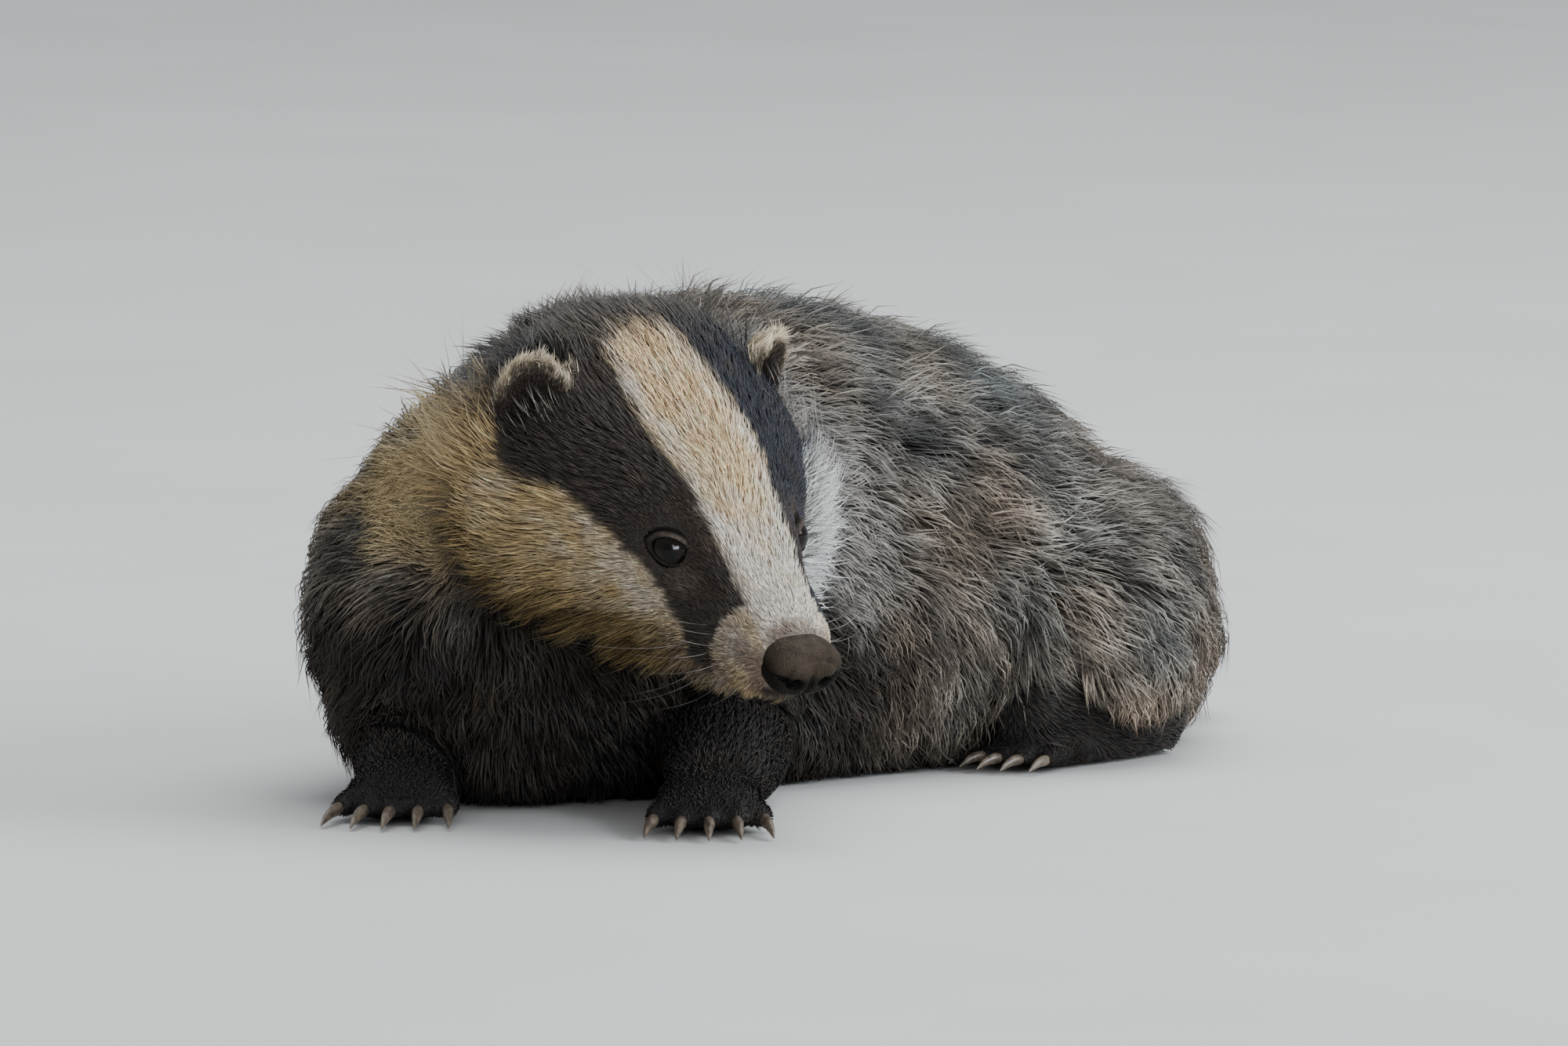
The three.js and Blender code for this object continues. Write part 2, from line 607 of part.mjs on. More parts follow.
function headSolid() {
  const shares = Array.from({ length: MOUTH.steps + 1 }, (_, i) => 1 - (MOUTH.taper * i) / MOUTH.steps);
  const taper = (radius) => shares.map((share) => share * radius);
  const sunk = MOUTH.lip * MOUTH.sunk;
  const solids = [formSolid(HEAD)];
  const cuts = [formSolid(NOSE, GAP), behindHead(0)];
  for (const side of [-1, 1]) {
    solids.push(lids(side), tube(mouthPath(side, MOUTH.part, sunk), taper(MOUTH.lip), 3));
    solids.push(tube(mouthPath(side, -MOUTH.part, sunk), taper(MOUTH.lip), 3));
    cuts.push(tube(mouthPath(side, 0, 0), taper(MOUTH.groove), 3), eyeBall(side, GAP));
  }
  const face = joined(solids).subtract(joined(cuts));
  return joined([face, ...ruff(0)]).subtract(joined([-1, 1].map((side) => ear(side, GAP))));
}

function headGrown() {
  const face = joined([formSolid(HEAD, GAP), lids(1), lids(-1)]).subtract(behindHead(GAP));
  return joined([face, ...ruff(GAP)]);
}

// Limb pieces in their own frame, mirrored for the left side
const mirrored = (form, side) => ({
  ...form,
  stations: form.stations.map((station) => ({ ...station, x: station.x * side })),
});
const pawOf = (limb) => (limb.paw.startsWith("fore") ? FORE_PAW : HIND_PAW);

// Toe and claw frames: the toes fan out from the middle one, which reaches furthest
function toePlace(limb, index) {
  const { palm, toe } = pawOf(limb);
  const place = index - (TOES - 1) / 2;
  const x = palm.at(-1).x * limb.side + place * toe.spacing * limb.side;
  const fan = -degrees(place * toe.fan) * limb.side;
  return { x, y: toe.y - toe.arc * place * place, fan };
}

function pawSolid(limb, grow = 0) {
  const { palm, toe } = pawOf(limb);
  const sole = mirrored({ ...LIMB, rings: 3, dome: 3, stations: palm }, limb.side);
  const solids = [formSolid(sole, grow)];
  for (let i = 0; i < TOES; i++) {
    const { x, y, fan } = toePlace(limb, i);
    const path = TOE_SHAPE.map(({ reach, height }) => {
      const length = reach * (toe.length + grow);
      return new THREE.Vector3(x - Math.sin(fan) * length, y + Math.cos(fan) * length, toe.z * height);
    });
    solids.push(tube(path, TOE_SHAPE.map(({ size }) => size && size * toe.radius + grow), 5));
  }
  return joined(solids);
}

function clawSolid(limb, index, grow = 0) {
  const { toe, claw } = pawOf(limb);
  const { x, y, fan } = toePlace(limb, index);
  const path = CLAW_SHAPE.map(({ reach, fall }) => {
    const length = toe.length + GAP - grow + (claw.length + grow) * reach;
    const height = toe.z * TOE_SHAPE.at(-1).height - fall * claw.droop;
    return new THREE.Vector3(x - Math.sin(fan) * length, y + Math.cos(fan) * length, height);
  });
  return tube(path, CLAW_SHAPE.map(({ size }) => size && size * claw.radius + grow), 4);
}

// Solids are named with their finish and the frame they are placed by
const pose = new THREE.Group();
const headGroup = new THREE.Group();
headGroup.position.set(HEAD_PLACE.x, HEAD_PLACE.y, HEAD_PLACE.z);
headGroup.rotation.set(degrees(HEAD_PLACE.pitch), degrees(HEAD_PLACE.roll), degrees(HEAD_PLACE.yaw), "ZXY");
headGroup.updateMatrix();
pose.add(headGroup);
const limbGroups = LIMBS.map((limb) => {
  const group = new THREE.Group();
  group.position.set(limb.x, limb.y, 0);
  group.rotation.z = degrees(limb.yaw);
  group.updateMatrix();
  pose.add(group);
  return group;
});

const finish = (color, roughness) => new THREE.MeshStandardMaterial({ color, roughness, metalness: 0 });
const FINISHES = {
  face: finish(0xb9a98c, 0.85),
  grizzle: finish(0x7d766b, 0.9),
  dark: finish(0x2b2320, 0.9),
  pale: finish(0x9d9280, 0.9),
  nose: finish(0x4a3b36, 0.45),
  eye: finish(0x14100e, 0.05),
  claw: finish(0x4b3f35, 0.4),
};

// Pieces in the whole animal's frame. Each is cut clear of the floor and of grown copies of the pieces it meets,
// nicked where the corner of a lock still reaches into it, and keeps its largest closed surface.
const pieces = [];
const floor = belowFloor();
const largest = (solid) => solid.decompose().sort((a, b) => b.volume() - a.volume())[0];

function boxRound(solid) {
  const { min, max } = solid.boundingBox();
  const box = new THREE.Box3(new THREE.Vector3(...min), new THREE.Vector3(...max)).expandByScalar(GAP);
  const size = box.getSize(new THREE.Vector3());
  const place = new THREE.Matrix4().setPosition(box.getCenter(new THREE.Vector3()));
  return solidFrom(new THREE.BoxGeometry(size.x, size.y, size.z), place);
}

function add(name, group, material, solid, grown, clearOf = []) {
  const cuts = clearOf.map((other) => pieces.find((piece) => piece.name === other).grown);
  const cleared = solid.subtract(joined([floor, ...cuts]));
  const nicks = pieces.flatMap((piece) => cleared.intersect(piece.solid).decompose().map(boxRound));
  pieces.push({ name, group, material, grown, solid: largest(cleared.subtract(joined([floor, ...nicks]))) });
}

const onHead = (solid) => moved(solid, headGroup.matrix);
for (const [side, word] of [[1, "right"], [-1, "left"]]) {
  add("eye_" + word, headGroup, FINISHES.eye, onHead(eyeBall(side)), null);
  add("ear_" + word, headGroup, FINISHES.dark, onHead(ear(side)), onHead(ear(side, GAP)));
}
add("nose", headGroup, FINISHES.nose, onHead(nosePad()), null);
add("head", headGroup, FINISHES.face, onHead(headSolid()), onHead(headGrown()));

// Paws and claws
const clawNames = (limb) => Array.from({ length: TOES }, (_, k) => limb.paw + "_claw_" + (k + 1));
LIMBS.forEach((limb, i) => {
  const group = limbGroups[i];
  clawNames(limb).forEach((name, k) => {
    const [claw, grown] = [0, GAP].map((grow) => moved(clawSolid(limb, k, grow), group.matrix));
    add(name, group, FINISHES.claw, claw, grown);
  });
  const [paw, grown] = [0, GAP].map((grow) => moved(pawSolid(limb, grow), group.matrix));
  add(limb.paw, group, FINISHES.dark, paw, grown);
});

// The trunk is modelled whole, neck, torso, legs and tail in one, and then parted with thin cuts. Its forms are
// listed with the frame they stand in.
const still = new THREE.Matrix4();
const trunkForms = [TORSO, NECK, TAIL].map((form) => ({ form, matrix: still }));
LIMBS.forEach(({ forms, side }, i) => {
  for (const form of forms) trunkForms.push({ form: mirrored(form, side), matrix: limbGroups[i].matrix });
});
const cored = ({ form, matrix }, grow) => moved(formSolid(form, form.core + grow), matrix);
const [body, bodyGrown] = [0, GAP].map((grow) => joined(trunkForms.map((entry) => cored(entry, grow))));

// Space that a leg is cut out of: an oval plug across it
function legSpace(i, grow) {
  const { side, forms } = LIMBS[i];
  const cut = forms[0] === UPPER_ARM ? SHOULDER_CUT : HIP_CUT;
  const inner = cut.inner - grow;
  const plug = new THREE.CylinderGeometry(1, 1, cut.outer - inner, 14).rotateZ(Math.PI / 2);
  plug.scale(1, cut.ahead + grow, cut.high + grow).translate((side * (cut.outer + inner)) / 2, cut.y, cut.z);
  return solidFrom(plug, limbGroups[i].matrix);
}
const neckBase = new THREE.Vector3(NECK_BASE.x, NECK_BASE.y, NECK_BASE.z);
const neckFacing = new THREE.Vector3(NECK_BASE.facing.x, NECK_BASE.facing.y, NECK_BASE.facing.z).normalize();

// Regions that the trunk is parted by, each with its own grown copy
const region = (name, group, material, space) => ({ name, group, material, spaces: [0, GAP].map(space) });
function neckSpace(grow) {
  const legs = LIMBS.map((_, i) => legSpace(i, GAP - grow));
  return beyond(neckBase.clone().addScaledVector(neckFacing, -grow), neckFacing).subtract(joined(legs));
}
const tailSpace = (grow) => formSolid(TAIL, TAIL.coat + TAIL_MARGIN + grow);
const regions = [
  ...LIMBS.map(({ name }, i) => region(name, limbGroups[i], FINISHES.dark, (grow) => legSpace(i, grow))),
  region("tail", pose, FINISHES.pale, tailSpace),
  region("neck", pose, FINISHES.grizzle, neckSpace),
];

// Each lock belongs to the first region that holds its root, and otherwise to the torso. One whose root is buried
// in the trunk, below the floor or inside the head is left out.
const TOUCH = 0.6;
const ROOT_LIFT = 2.5;
function holds(solid, point) {
  const touch = solidFrom(new THREE.OctahedronGeometry(TOUCH), new THREE.Matrix4().setPosition(point));
  return !solid.intersect(touch).isEmpty();
}
const lockSets = new Map([...regions.map(({ name }) => name), "torso"].map((name) => [name, []]));
const headBlock = onHead(formSolid(HEAD));
trunkForms.forEach(({ form, matrix }, i) => {
  if (!form.locks) return;
  for (const place of lockPlaces(form, SEED + i)) {
    const { normal } = stepsOn(form, place.u, place.angle, form.core);
    const root = pointOn(form, place.u, place.angle, form.core);
    root.addScaledVector(normal, ROOT_LIFT).applyMatrix4(matrix);
    if (root.z < CLEAR_OF_FLOOR + LOCK.sunk || holds(body, root) || holds(headBlock, root)) continue;
    const home = regions.find(({ spaces }) => holds(spaces[0], root))?.name ?? "torso";
    lockSets.get(home).push((grow) => moved(lockSolid(form, place, grow), matrix));
  }
});
// The cores part the trunk between them. Locks are trimmed to lie over the other cores, and the neck's locks lie
// over the torso's, which lie over those of the tail and legs.
const feet = LIMBS.flatMap((limb) => [limb.paw, ...clawNames(limb)]);
const besides = ["head", "ear_right", "ear_left", ...feet];
const laid = [];
function part({ name, group, material }, cores, others) {
  const clear = joined([others, ...laid]);
  const locks = [0, GAP].map((grow) => joined(lockSets.get(name).map((lock) => lock(grow))).subtract(clear));
  const [solid, grown] = locks.map((set, k) => joined([cores[k], set]));
  add(name, group, material, solid, grown, besides);
  laid.push(locks[1]);
}
function partIn(place) {
  const [space, spaceGrown] = place.spaces;
  part(place, [body.intersect(space), bodyGrown.intersect(spaceGrown)], bodyGrown.subtract(space));
}
const [spaces, spacesGrown] = [0, 1].map((k) => joined(regions.map((place) => place.spaces[k])));
const torso = { name: "torso", group: pose, material: FINISHES.grizzle };
partIn(regions.at(-1));
part(torso, [body.subtract(spacesGrown), bodyGrown.subtract(spaces)], bodyGrown.intersect(spaces));
regions.slice(0, -1).toReversed().forEach(partIn);

// Meshes, each in its own group's frame
for (const { name, group, material, solid } of pieces) {
  const { numProp, vertProperties, triVerts } = moved(solid, group.matrix.clone().invert()).getMesh();
  const geometry = new THREE.BufferGeometry();
  geometry.setAttribute("position", new THREE.BufferAttribute(new Float32Array(vertProperties), numProp));
  geometry.setIndex(new THREE.BufferAttribute(triVerts, 1));
  geometry.computeVertexNormals();
  const mesh = new THREE.Mesh(geometry, material);
  mesh.name = name;
  group.add(mesh);
}

// The origin is under the middle of the whole animal, on the floor
const badger = new THREE.Group();
badger.add(pose);
const extent = new THREE.Box3().setFromObject(pose, true);
pose.position.set(-(extent.min.x + extent.max.x) / 2, -(extent.min.y + extent.max.y) / 2, -extent.min.z);

export default badger;
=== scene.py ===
# %% [markdown]
# # A young european badger, dressed in its skin and fur
# The solids hold the badger's build: head, neck, trunk, legs and a coat of broad locks. This lesson gives them
# a living surface. It repeats the named sizes of the solids, grows one smooth skin over the same forms, and
# covers that skin with tufts of hair that follow the lie of a real coat. Everything is worked out with numpy on
# whole arrays, in millimetres, and is put into the frame in metres at the end.

# %% Frame and tools
import math

import bpy
import numpy as np
from mathutils import Matrix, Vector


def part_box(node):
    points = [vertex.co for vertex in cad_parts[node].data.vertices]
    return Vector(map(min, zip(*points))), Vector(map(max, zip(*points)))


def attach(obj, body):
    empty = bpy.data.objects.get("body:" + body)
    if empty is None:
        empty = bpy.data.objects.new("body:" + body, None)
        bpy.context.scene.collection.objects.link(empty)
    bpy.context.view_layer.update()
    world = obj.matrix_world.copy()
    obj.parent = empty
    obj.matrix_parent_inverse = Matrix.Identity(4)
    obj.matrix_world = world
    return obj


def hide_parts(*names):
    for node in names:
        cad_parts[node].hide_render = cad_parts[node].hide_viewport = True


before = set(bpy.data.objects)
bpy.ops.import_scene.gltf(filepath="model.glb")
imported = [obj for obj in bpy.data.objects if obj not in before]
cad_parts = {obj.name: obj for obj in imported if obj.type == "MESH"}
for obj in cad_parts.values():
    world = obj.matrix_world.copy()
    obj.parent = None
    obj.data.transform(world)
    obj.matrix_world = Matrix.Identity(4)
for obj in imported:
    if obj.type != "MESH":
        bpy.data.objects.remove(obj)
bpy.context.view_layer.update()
MM = 0.001
rng = np.random.default_rng(7)


def unit(v):
    """Vectors scaled to length one."""
    return v / np.maximum(np.linalg.norm(v, axis=-1, keepdims=True), 1e-9)


def smoothstep(low, high, x):
    """0 below low, 1 above high, with a soft S between them."""
    t = np.clip((x - low) / (high - low), 0, 1)
    return t * t * (3 - 2 * t)


def mix(a, b, share):
    """a where share is 0, b where it is 1."""
    return a + (b - a) * share


def degrees(x):
    """An angle given in degrees, as radians."""
    return np.radians(x)


# %% [markdown]
# ## The forms under the coat
# An animal can be sketched as a few bent, tapering tubes. Each row below is a station along such a tube: its
# centre, half width, rise above the centre and drop below it. They are the sizes of the solids, so skin and
# solids agree. A curve through the stations and a rounded section give every point from just two numbers: how
# far along the form, and the angle round it.
#
# Two pads belong to the skin alone, because hair bridges what lies under it. One fills the neck under the fan of
# hair behind the right cheek, and the other the crease between flank and haunch. The eyes show a little
# farther back and lower than the solids hold them, and the ears are smaller by the length of their hair.

# %% Stations of the trunk, head and limbs
def form(rows, squareness=2.0, sag=0.0, dome=6.0, **more):
    """A tube through rows of x, y, z, half width, rise and drop. Sag widens it below, and dome is how far each end
    reaches past its last station."""
    return dict(rows=np.array(rows, float), squareness=squareness, sag=sag, dome=dome, **more)


TORSO = form(
    [(-86, 20, 58, 43, 37, 56), (-65, 46, 63, 57, 49, 68), (-30, 86, 64, 60, 63, 70), (6, 126, 61, 64, 62, 68),
     (42, 159, 56, 65, 51, 64), (72, 182, 46, 58, 33, 54), (98, 196, 36, 48, 19, 42)],
    squareness=2.1, sag=0.1, dome=22)
NECK = form(
    [(-32, -16, 94, 37, 32, 28), (-39, 0, 95, 38, 34, 36), (-44, 18, 93, 38, 38, 40), (-45, 42, 86, 37, 45, 42),
     (-38, 66, 78, 36, 53, 38)],
    squareness=2.1, sag=0.04, dome=10)
TAIL = form(
    [(100, 200, 34, 12, 11, 12), (116, 216, 27, 11, 9, 11), (121, 236, 20, 9, 7, 9), (110, 254, 15, 7, 6, 8),
     (90, 266, 13, 5, 4.5, 6), (70, 272, 11, 3, 2.5, 4)],
    dome=4)
HEAD = form(
    [(0, -5, -3, 8, 7, 7), (0, -12, -3, 13, 12, 11.5), (0, -23, -2.5, 17, 15.5, 16), (0, -35, -1, 20.5, 19, 20),
     (0, -47, 0, 24.5, 24.5, 24), (0, -61, 1, 33, 31, 29), (0, -77, 2, 43, 35, 34), (0, -93, 2, 49, 39.5, 36),
     (0, -109, 2, 48, 43, 35), (0, -124, 1, 40, 40, 28)],
    squareness=2.25, sag=0.04, dome=2,
    # place along the head, angle above the widest line, reach, spread and height of soft swellings
    swells=[(-45, 52, 8, 16, 1.5), (-38, 24, 7, 16, -1.6), (-50, 90, 12, 12, -1.4), (-18, -14, 8, 26, 1.4),
            (-62, -2, 10, 18, 1.6), (-88, -20, 18, 26, 4), (-19, 8, 12, 36, 2.0), (-46, -62, 28, 30, 3.5)])
NOSE = form(
    [(0, -1, -1, 7.4, 4.4, 4.6), (0, -2, -1, 10.2, 6.4, 6.6), (0, -5, -1, 11.4, 7.6, 7.6),
     (0, -10, -1.5, 10.6, 7.8, 6.6), (0, -15, -2, 7, 6, 4)],
    squareness=2.5, dome=1.2)
UPPER_ARM = form(
    [(-6, 4, 84, 18, 20, 20), (1, -2, 60, 22, 25, 25), (5, -8, 36, 18, 21, 21), (5, -9, 22, 12, 14, 14)])
FOREARM = form(
    [(6, -14, 20, 15, 16, 19), (5, 6, 18, 16, 17, 18), (3, 28, 14, 14.5, 13, 13), (2, 46, 11, 12, 9.5, 9)])
THIGH = form(
    [(-8, -8, 50, 24, 24, 24), (2, 5, 42, 31, 33, 33), (8, 24, 33, 25, 26, 26), (9, 38, 27, 13, 15, 15)])
SHANK = form(
    [(10, 40, 24, 14, 14, 16), (11, 20, 19, 15, 14, 16), (12, 0, 15, 13, 12, 13), (12, -13, 12, 10, 9, 10)])
FORE_PALM = form(
    [(2, 38, 11, 10, 8, 8), (1, 50, 9, 13.5, 9, 10), (0, 63, 7, 16, 7.5, 9), (0, 72, 6, 14.5, 5.5, 7)], dome=3)
HIND_PALM = form(
    [(12, -16, 8, 9, 7, 9), (12, 2, 8, 11.5, 8, 10), (11, 24, 8, 14, 8, 10), (10, 42, 6, 14, 6, 8)], dome=3)
FORE_TOE = dict(y=74, z=4.6, spacing=7, radius=3.9, length=9.5, arc=1.3, fan=5)
HIND_TOE = dict(y=44, z=4.4, spacing=6.2, radius=3.5, length=9, arc=1.2, fan=5)
FORE_CLAW = dict(length=14, radius=1.9, droop=3.2)
HIND_CLAW = dict(length=8.5, radius=1.6, droop=2.4)
TOE_PLACES = np.arange(5) - 2.0  # counted from the middle toe
HAUNCH = form([(56, 182, 48, 40, 34, 40), (82, 170, 46, 40, 34, 42), (104, 150, 42, 30, 31, 38)], dome=10)
LIMBS = [
    dict(leg="foreleg_right", paw="forepaw_right", side=1, at=(-92, 46), yaw=172, fore=True),
    dict(leg="foreleg_left", paw="forepaw_left", side=-1, at=(-14, 22), yaw=180, fore=True),
    dict(leg="hindleg_right", paw="hindpaw_right", side=1, at=(48, 226), yaw=142, fore=False),
    dict(leg="hindleg_left", paw="hindpaw_left", side=-1, at=(96, 140), yaw=138, fore=False),
]
HEAD_PLACE = dict(at=(15, -85, 48.5), yaw=-145, pitch=-27, roll=2)
FAN_PAD = form([(-69, -20, 87, 13, 17, 18), (-81, -3, 84, 14, 18, 20), (-94, 19, 80, 13, 17, 19)], dome=10)
FLANK_PAD = form([(64, 112, 42, 14, 18, 22), (84, 110, 40, 15.5, 22, 26), (104, 117, 38, 14, 18, 22)], dome=8)
EYE = dict(y=-47.5, angle=33, radius=6.6, proud=1.1, forward=0.25)
EYE_SEEN = dict(EYE, y=-48.6, angle=28.2)
SIDES = {"right": 1, "left": -1}
EAR = dict(across=37, y=-103, z=24.4, wide=11.0, high=18.4, outward=32, lean=15)
print("head", -HEAD["rows"][-1, 1], "mm long and", 2 * HEAD["rows"][:, 3].max(), "mm wide at the cheeks")

# %% [markdown]
# The curve passes through every station, which makes the stations easy to read as real sections of the animal.
# The section is a superellipse, a little squarer than an ellipse, and each end closes in a dome.

# %% From stations to surface points
STEP = 0.01  # share of a form's length, and radians round it, over which differences are taken
UP = np.array([0.0, 0.0, 1.0])
FORWARD = np.array([0.0, 1.0, 0.0])


def spline(rows, u):
    """Smooth curve through evenly spaced rows, read at each u from 0 to 1. Between two rows it is the cubic whose
    slope at each row is half the step from the row before it to the row after it."""
    last = len(rows) - 1
    place = np.clip(u, 0, 1) * last
    i = np.minimum(place.astype(int), last - 1)
    t = (place - i)[..., None]
    padded = np.concatenate([[2 * rows[0] - rows[1]], rows, [2 * rows[-1] - rows[-2]]])
    a, b, c, d = (padded[i + k] for k in range(4))
    return b + t / 2 * (c - a + t * (2 * a - 5 * b + 4 * c - d + t * (3 * (b - c) + d - a)))


def power(x, exponent):
    """The size of x to a power, with the sign of x."""
    return np.sign(x) * np.abs(x) ** exponent


def bell(distance, width):
    """1 at no distance, falling off as e to minus the square of distance over width."""
    return np.exp(-((distance / width) ** 2))


def surface(f, u, angle, grow=0.0):
    """Point of a form at u along it and at an angle round it, 0 on the animal's left and 90 degrees on top: the
    centre plus a superellipse of the half width, rise and drop. Below 0 and above 1, u runs over the domes."""
    u, angle = np.broadcast_arrays(np.asarray(u, float), np.asarray(angle, float))
    row = spline(f["rows"], u)
    centre, half, rise, drop = row[..., :3], row[..., 3], row[..., 4], row[..., 5]
    inner = np.clip(u, STEP, 1 - STEP)
    ahead = unit(spline(f["rows"], inner + STEP)[..., :3] - spline(f["rows"], inner - STEP)[..., :3])
    hint = np.where(np.abs(ahead[..., 2:]) > 0.8, FORWARD, UP)
    across = unit(np.cross(ahead, hint))
    above = np.cross(across, ahead)
    cos, sin = np.cos(angle), np.sin(angle)
    exponent = 2 / f["squareness"]
    side = power(cos, exponent) * (half + grow) * (1 - f["sag"] * sin)
    height = power(sin, exponent) * (np.where(sin > 0, rise, drop) + grow)
    out = across * side[..., None] + above * height[..., None]
    turn = np.degrees(np.arcsin(sin))
    swell = 0 * u
    for y, middle, long, wide, high in f.get("swells", []):
        swell = swell + high * bell(centre[..., 1] - y, long) * bell(turn - middle, wide)
    size = np.maximum(np.linalg.norm(out, axis=-1), 1e-6)
    past = (u - np.clip(u, 0, 1)) * np.pi / 2
    reach = (np.cos(past) * (1 + swell / size))[..., None]
    return centre + out * reach + ahead * ((f["dome"] + grow) * np.sin(past))[..., None]


def steps(f, u, angle, grow=0.0):
    """Direction along a form, direction round it and outward normal, from small differences."""
    along = surface(f, u + STEP, angle, grow) - surface(f, u - STEP, angle, grow)
    around = surface(f, u, angle + STEP, grow) - surface(f, u, angle - STEP, grow)
    return unit(along), unit(around), unit(np.cross(along, around))


print("top of the head's form, halfway along:", surface(HEAD, 0.5, np.pi / 2).round(1))

# %% [markdown]
# Head and limbs are measured in frames of their own, as on a drawing board, and each frame is then turned and
# moved into the pose. The whole animal is shifted so that it stands over the origin. The shift is read from the
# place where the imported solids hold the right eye.

# %% Frames of the head and limbs
def turned(yaw=0.0, pitch=0.0, roll=0.0):
    """Rotation about z, then x, then y, as a 3 x 3 array."""
    (cz, sz), (cx, sx), (cy, sy) = ((math.cos(a), math.sin(a)) for a in np.radians([yaw, pitch, roll]))
    rz = np.array([[cz, -sz, 0], [sz, cz, 0], [0, 0, 1]])
    rx = np.array([[1, 0, 0], [0, cx, -sx], [0, sx, cx]])
    ry = np.array([[cy, 0, sy], [0, 1, 0], [-sy, 0, cy]])
    return rz @ rx @ ry


HEAD_TURN = turned(HEAD_PLACE["yaw"], HEAD_PLACE["pitch"], HEAD_PLACE["roll"])


def share_at(f, y):
    """How far along a form its centre reaches a given y, by reading a fine table of the curve."""
    u = np.linspace(0, 1, 400)
    ys = spline(f["rows"], u)[:, 1]
    order = np.argsort(ys)
    return np.interp(y, ys[order], u[order])


def face_angle(side, angle):
    """Angle round the head, in radians, for degrees above the widest line of its right (1) or left (-1) side."""
    return np.pi - degrees(angle) if side > 0 else degrees(angle)


def eye_frame(side, spot):
    """Centre of an eyeball in the head's frame, with the directions out of the head, forward and upward."""
    u, angle = share_at(HEAD, spot["y"]), face_angle(side, spot["angle"])
    out = unit(steps(HEAD, u, angle)[2] + FORWARD * spot["forward"])
    centre = surface(HEAD, u, angle) + out * (spot["proud"] - spot["radius"])
    ahead = unit(FORWARD - out * out[1])
    return centre, out, ahead, np.cross(out, ahead) * side


eye_box = np.array(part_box("eye_right")) / MM
SHIFT = eye_box.mean(axis=0) - (HEAD_TURN @ eye_frame(1, EYE)[0] + np.array(HEAD_PLACE["at"]))


def place_body(points):
    return points + SHIFT


def place_head(points):
    return points @ HEAD_TURN.T + np.array(HEAD_PLACE["at"]) + SHIFT


def into_head(points):
    """Placed points read in the head's own frame again."""
    return (points - SHIFT - np.array(HEAD_PLACE["at"])) @ HEAD_TURN


def place_limb(limb):
    """The move that puts a limb in its place. A right limb is mirrored into a left one by the sign of its side."""
    turn, at = turned(limb["yaw"]), np.array([*limb["at"], 0.0]) + SHIFT
    mirror = np.array([limb["side"], 1, 1])
    return lambda points: (points * mirror) @ turn.T + at


print("shift", SHIFT.round(2))

# %% [markdown]
# ## Pieces from arrays
# A mesh is nothing but points and faces, so one helper turns arrays into an object at the origin, in metres.
# Grids give four-sided faces, and a grid that closes on itself gives a tube.

# %% Mesh helpers
def grid_faces(rows, columns):
    """Faces of a grid whose rows close on themselves, each joining two neighbours in two neighbouring rows."""
    i, k = np.meshgrid(np.arange(rows - 1), np.arange(columns), indexing="ij")
    a, b = i * columns + k, i * columns + (k + 1) % columns
    return np.stack([a, b, b + columns, a + columns], -1).reshape(-1, 4)


def mesh_piece(name, points, faces, colours=None, uv=None):
    """An object from points in millimetres and faces of equal size, with a colour per point and a UV per point."""
    mesh = bpy.data.meshes.new(name)
    count, sides = faces.shape
    mesh.vertices.add(len(points))
    mesh.vertices.foreach_set("co", (points * MM).astype(np.float32).ravel())
    mesh.loops.add(count * sides)
    mesh.loops.foreach_set("vertex_index", faces.astype(np.int32).ravel())
    mesh.polygons.add(count)
    mesh.polygons.foreach_set("loop_start", np.arange(0, count * sides, sides, dtype=np.int32))
    mesh.polygons.foreach_set("use_smooth", np.ones(count, bool))
    mesh.update(calc_edges=True)
    if colours is not None:
        layer = mesh.color_attributes.new(name="coat", type="FLOAT_COLOR", domain="POINT")
        rgba = np.concatenate([colours, np.ones((len(colours), 1))], 1)
        layer.data.foreach_set("color", rgba.astype(np.float32).ravel())
    if uv is not None:
        layer = mesh.uv_layers.new(name="OFBake")
        layer.data.foreach_set("uv", uv[faces.ravel()].astype(np.float32).ravel())
    piece = bpy.data.objects.new(name, mesh)
    bpy.context.collection.objects.link(piece)
    return piece


def closed_grid(f, rows, columns, place, grow=0.0, floor=None):
    """A whole form as a grid from pole to pole, put in its place. Points under the floor are raised to it."""
    u = np.linspace(-1, 2, rows)[:, None]
    angle = np.linspace(0, 2 * np.pi, columns, endpoint=False)[None]
    points = place(surface(f, u, angle, grow)).reshape(-1, 3)
    if floor is not None:
        points[:, 2] = np.maximum(points[:, 2], floor)
    return points, grid_faces(rows, columns)


def joined(parts):
    """Several (points, faces) as one mesh, each one's faces counted on past the points before it."""
    starts = np.cumsum([0] + [len(points) for points, _ in parts[:-1]])
    return np.concatenate([p for p, _ in parts]), np.concatenate([f + s for (_, f), s in zip(parts, starts)])


print("a grid of 3 rows and 4 columns has", len(grid_faces(3, 4)), "faces")

# %% [markdown]
# ## Ears and toes
# A badger's ear is a small round cup, furred on both sides, that stands out from the side of the crown. It is
# a leaf whose back bulges and whose front is hollowed, so a profile from the back's middle, over the rim and
# down into the cup, turned round an oval, gives it whole. A toe is a short tube with a rounded end.

# %% Ear surface
EAR_PROFILE = np.array([  # share of the outline's size, depth in front of the middle plane
    (0.0, -8.5), (0.38, -7.9), (0.7, -6.0), (0.92, -3.0), (1.0, 0.2), (0.95, 2.2), (0.78, 1.2), (0.52, -0.6),
    (0.26, -1.7), (0.0, -2.1)])


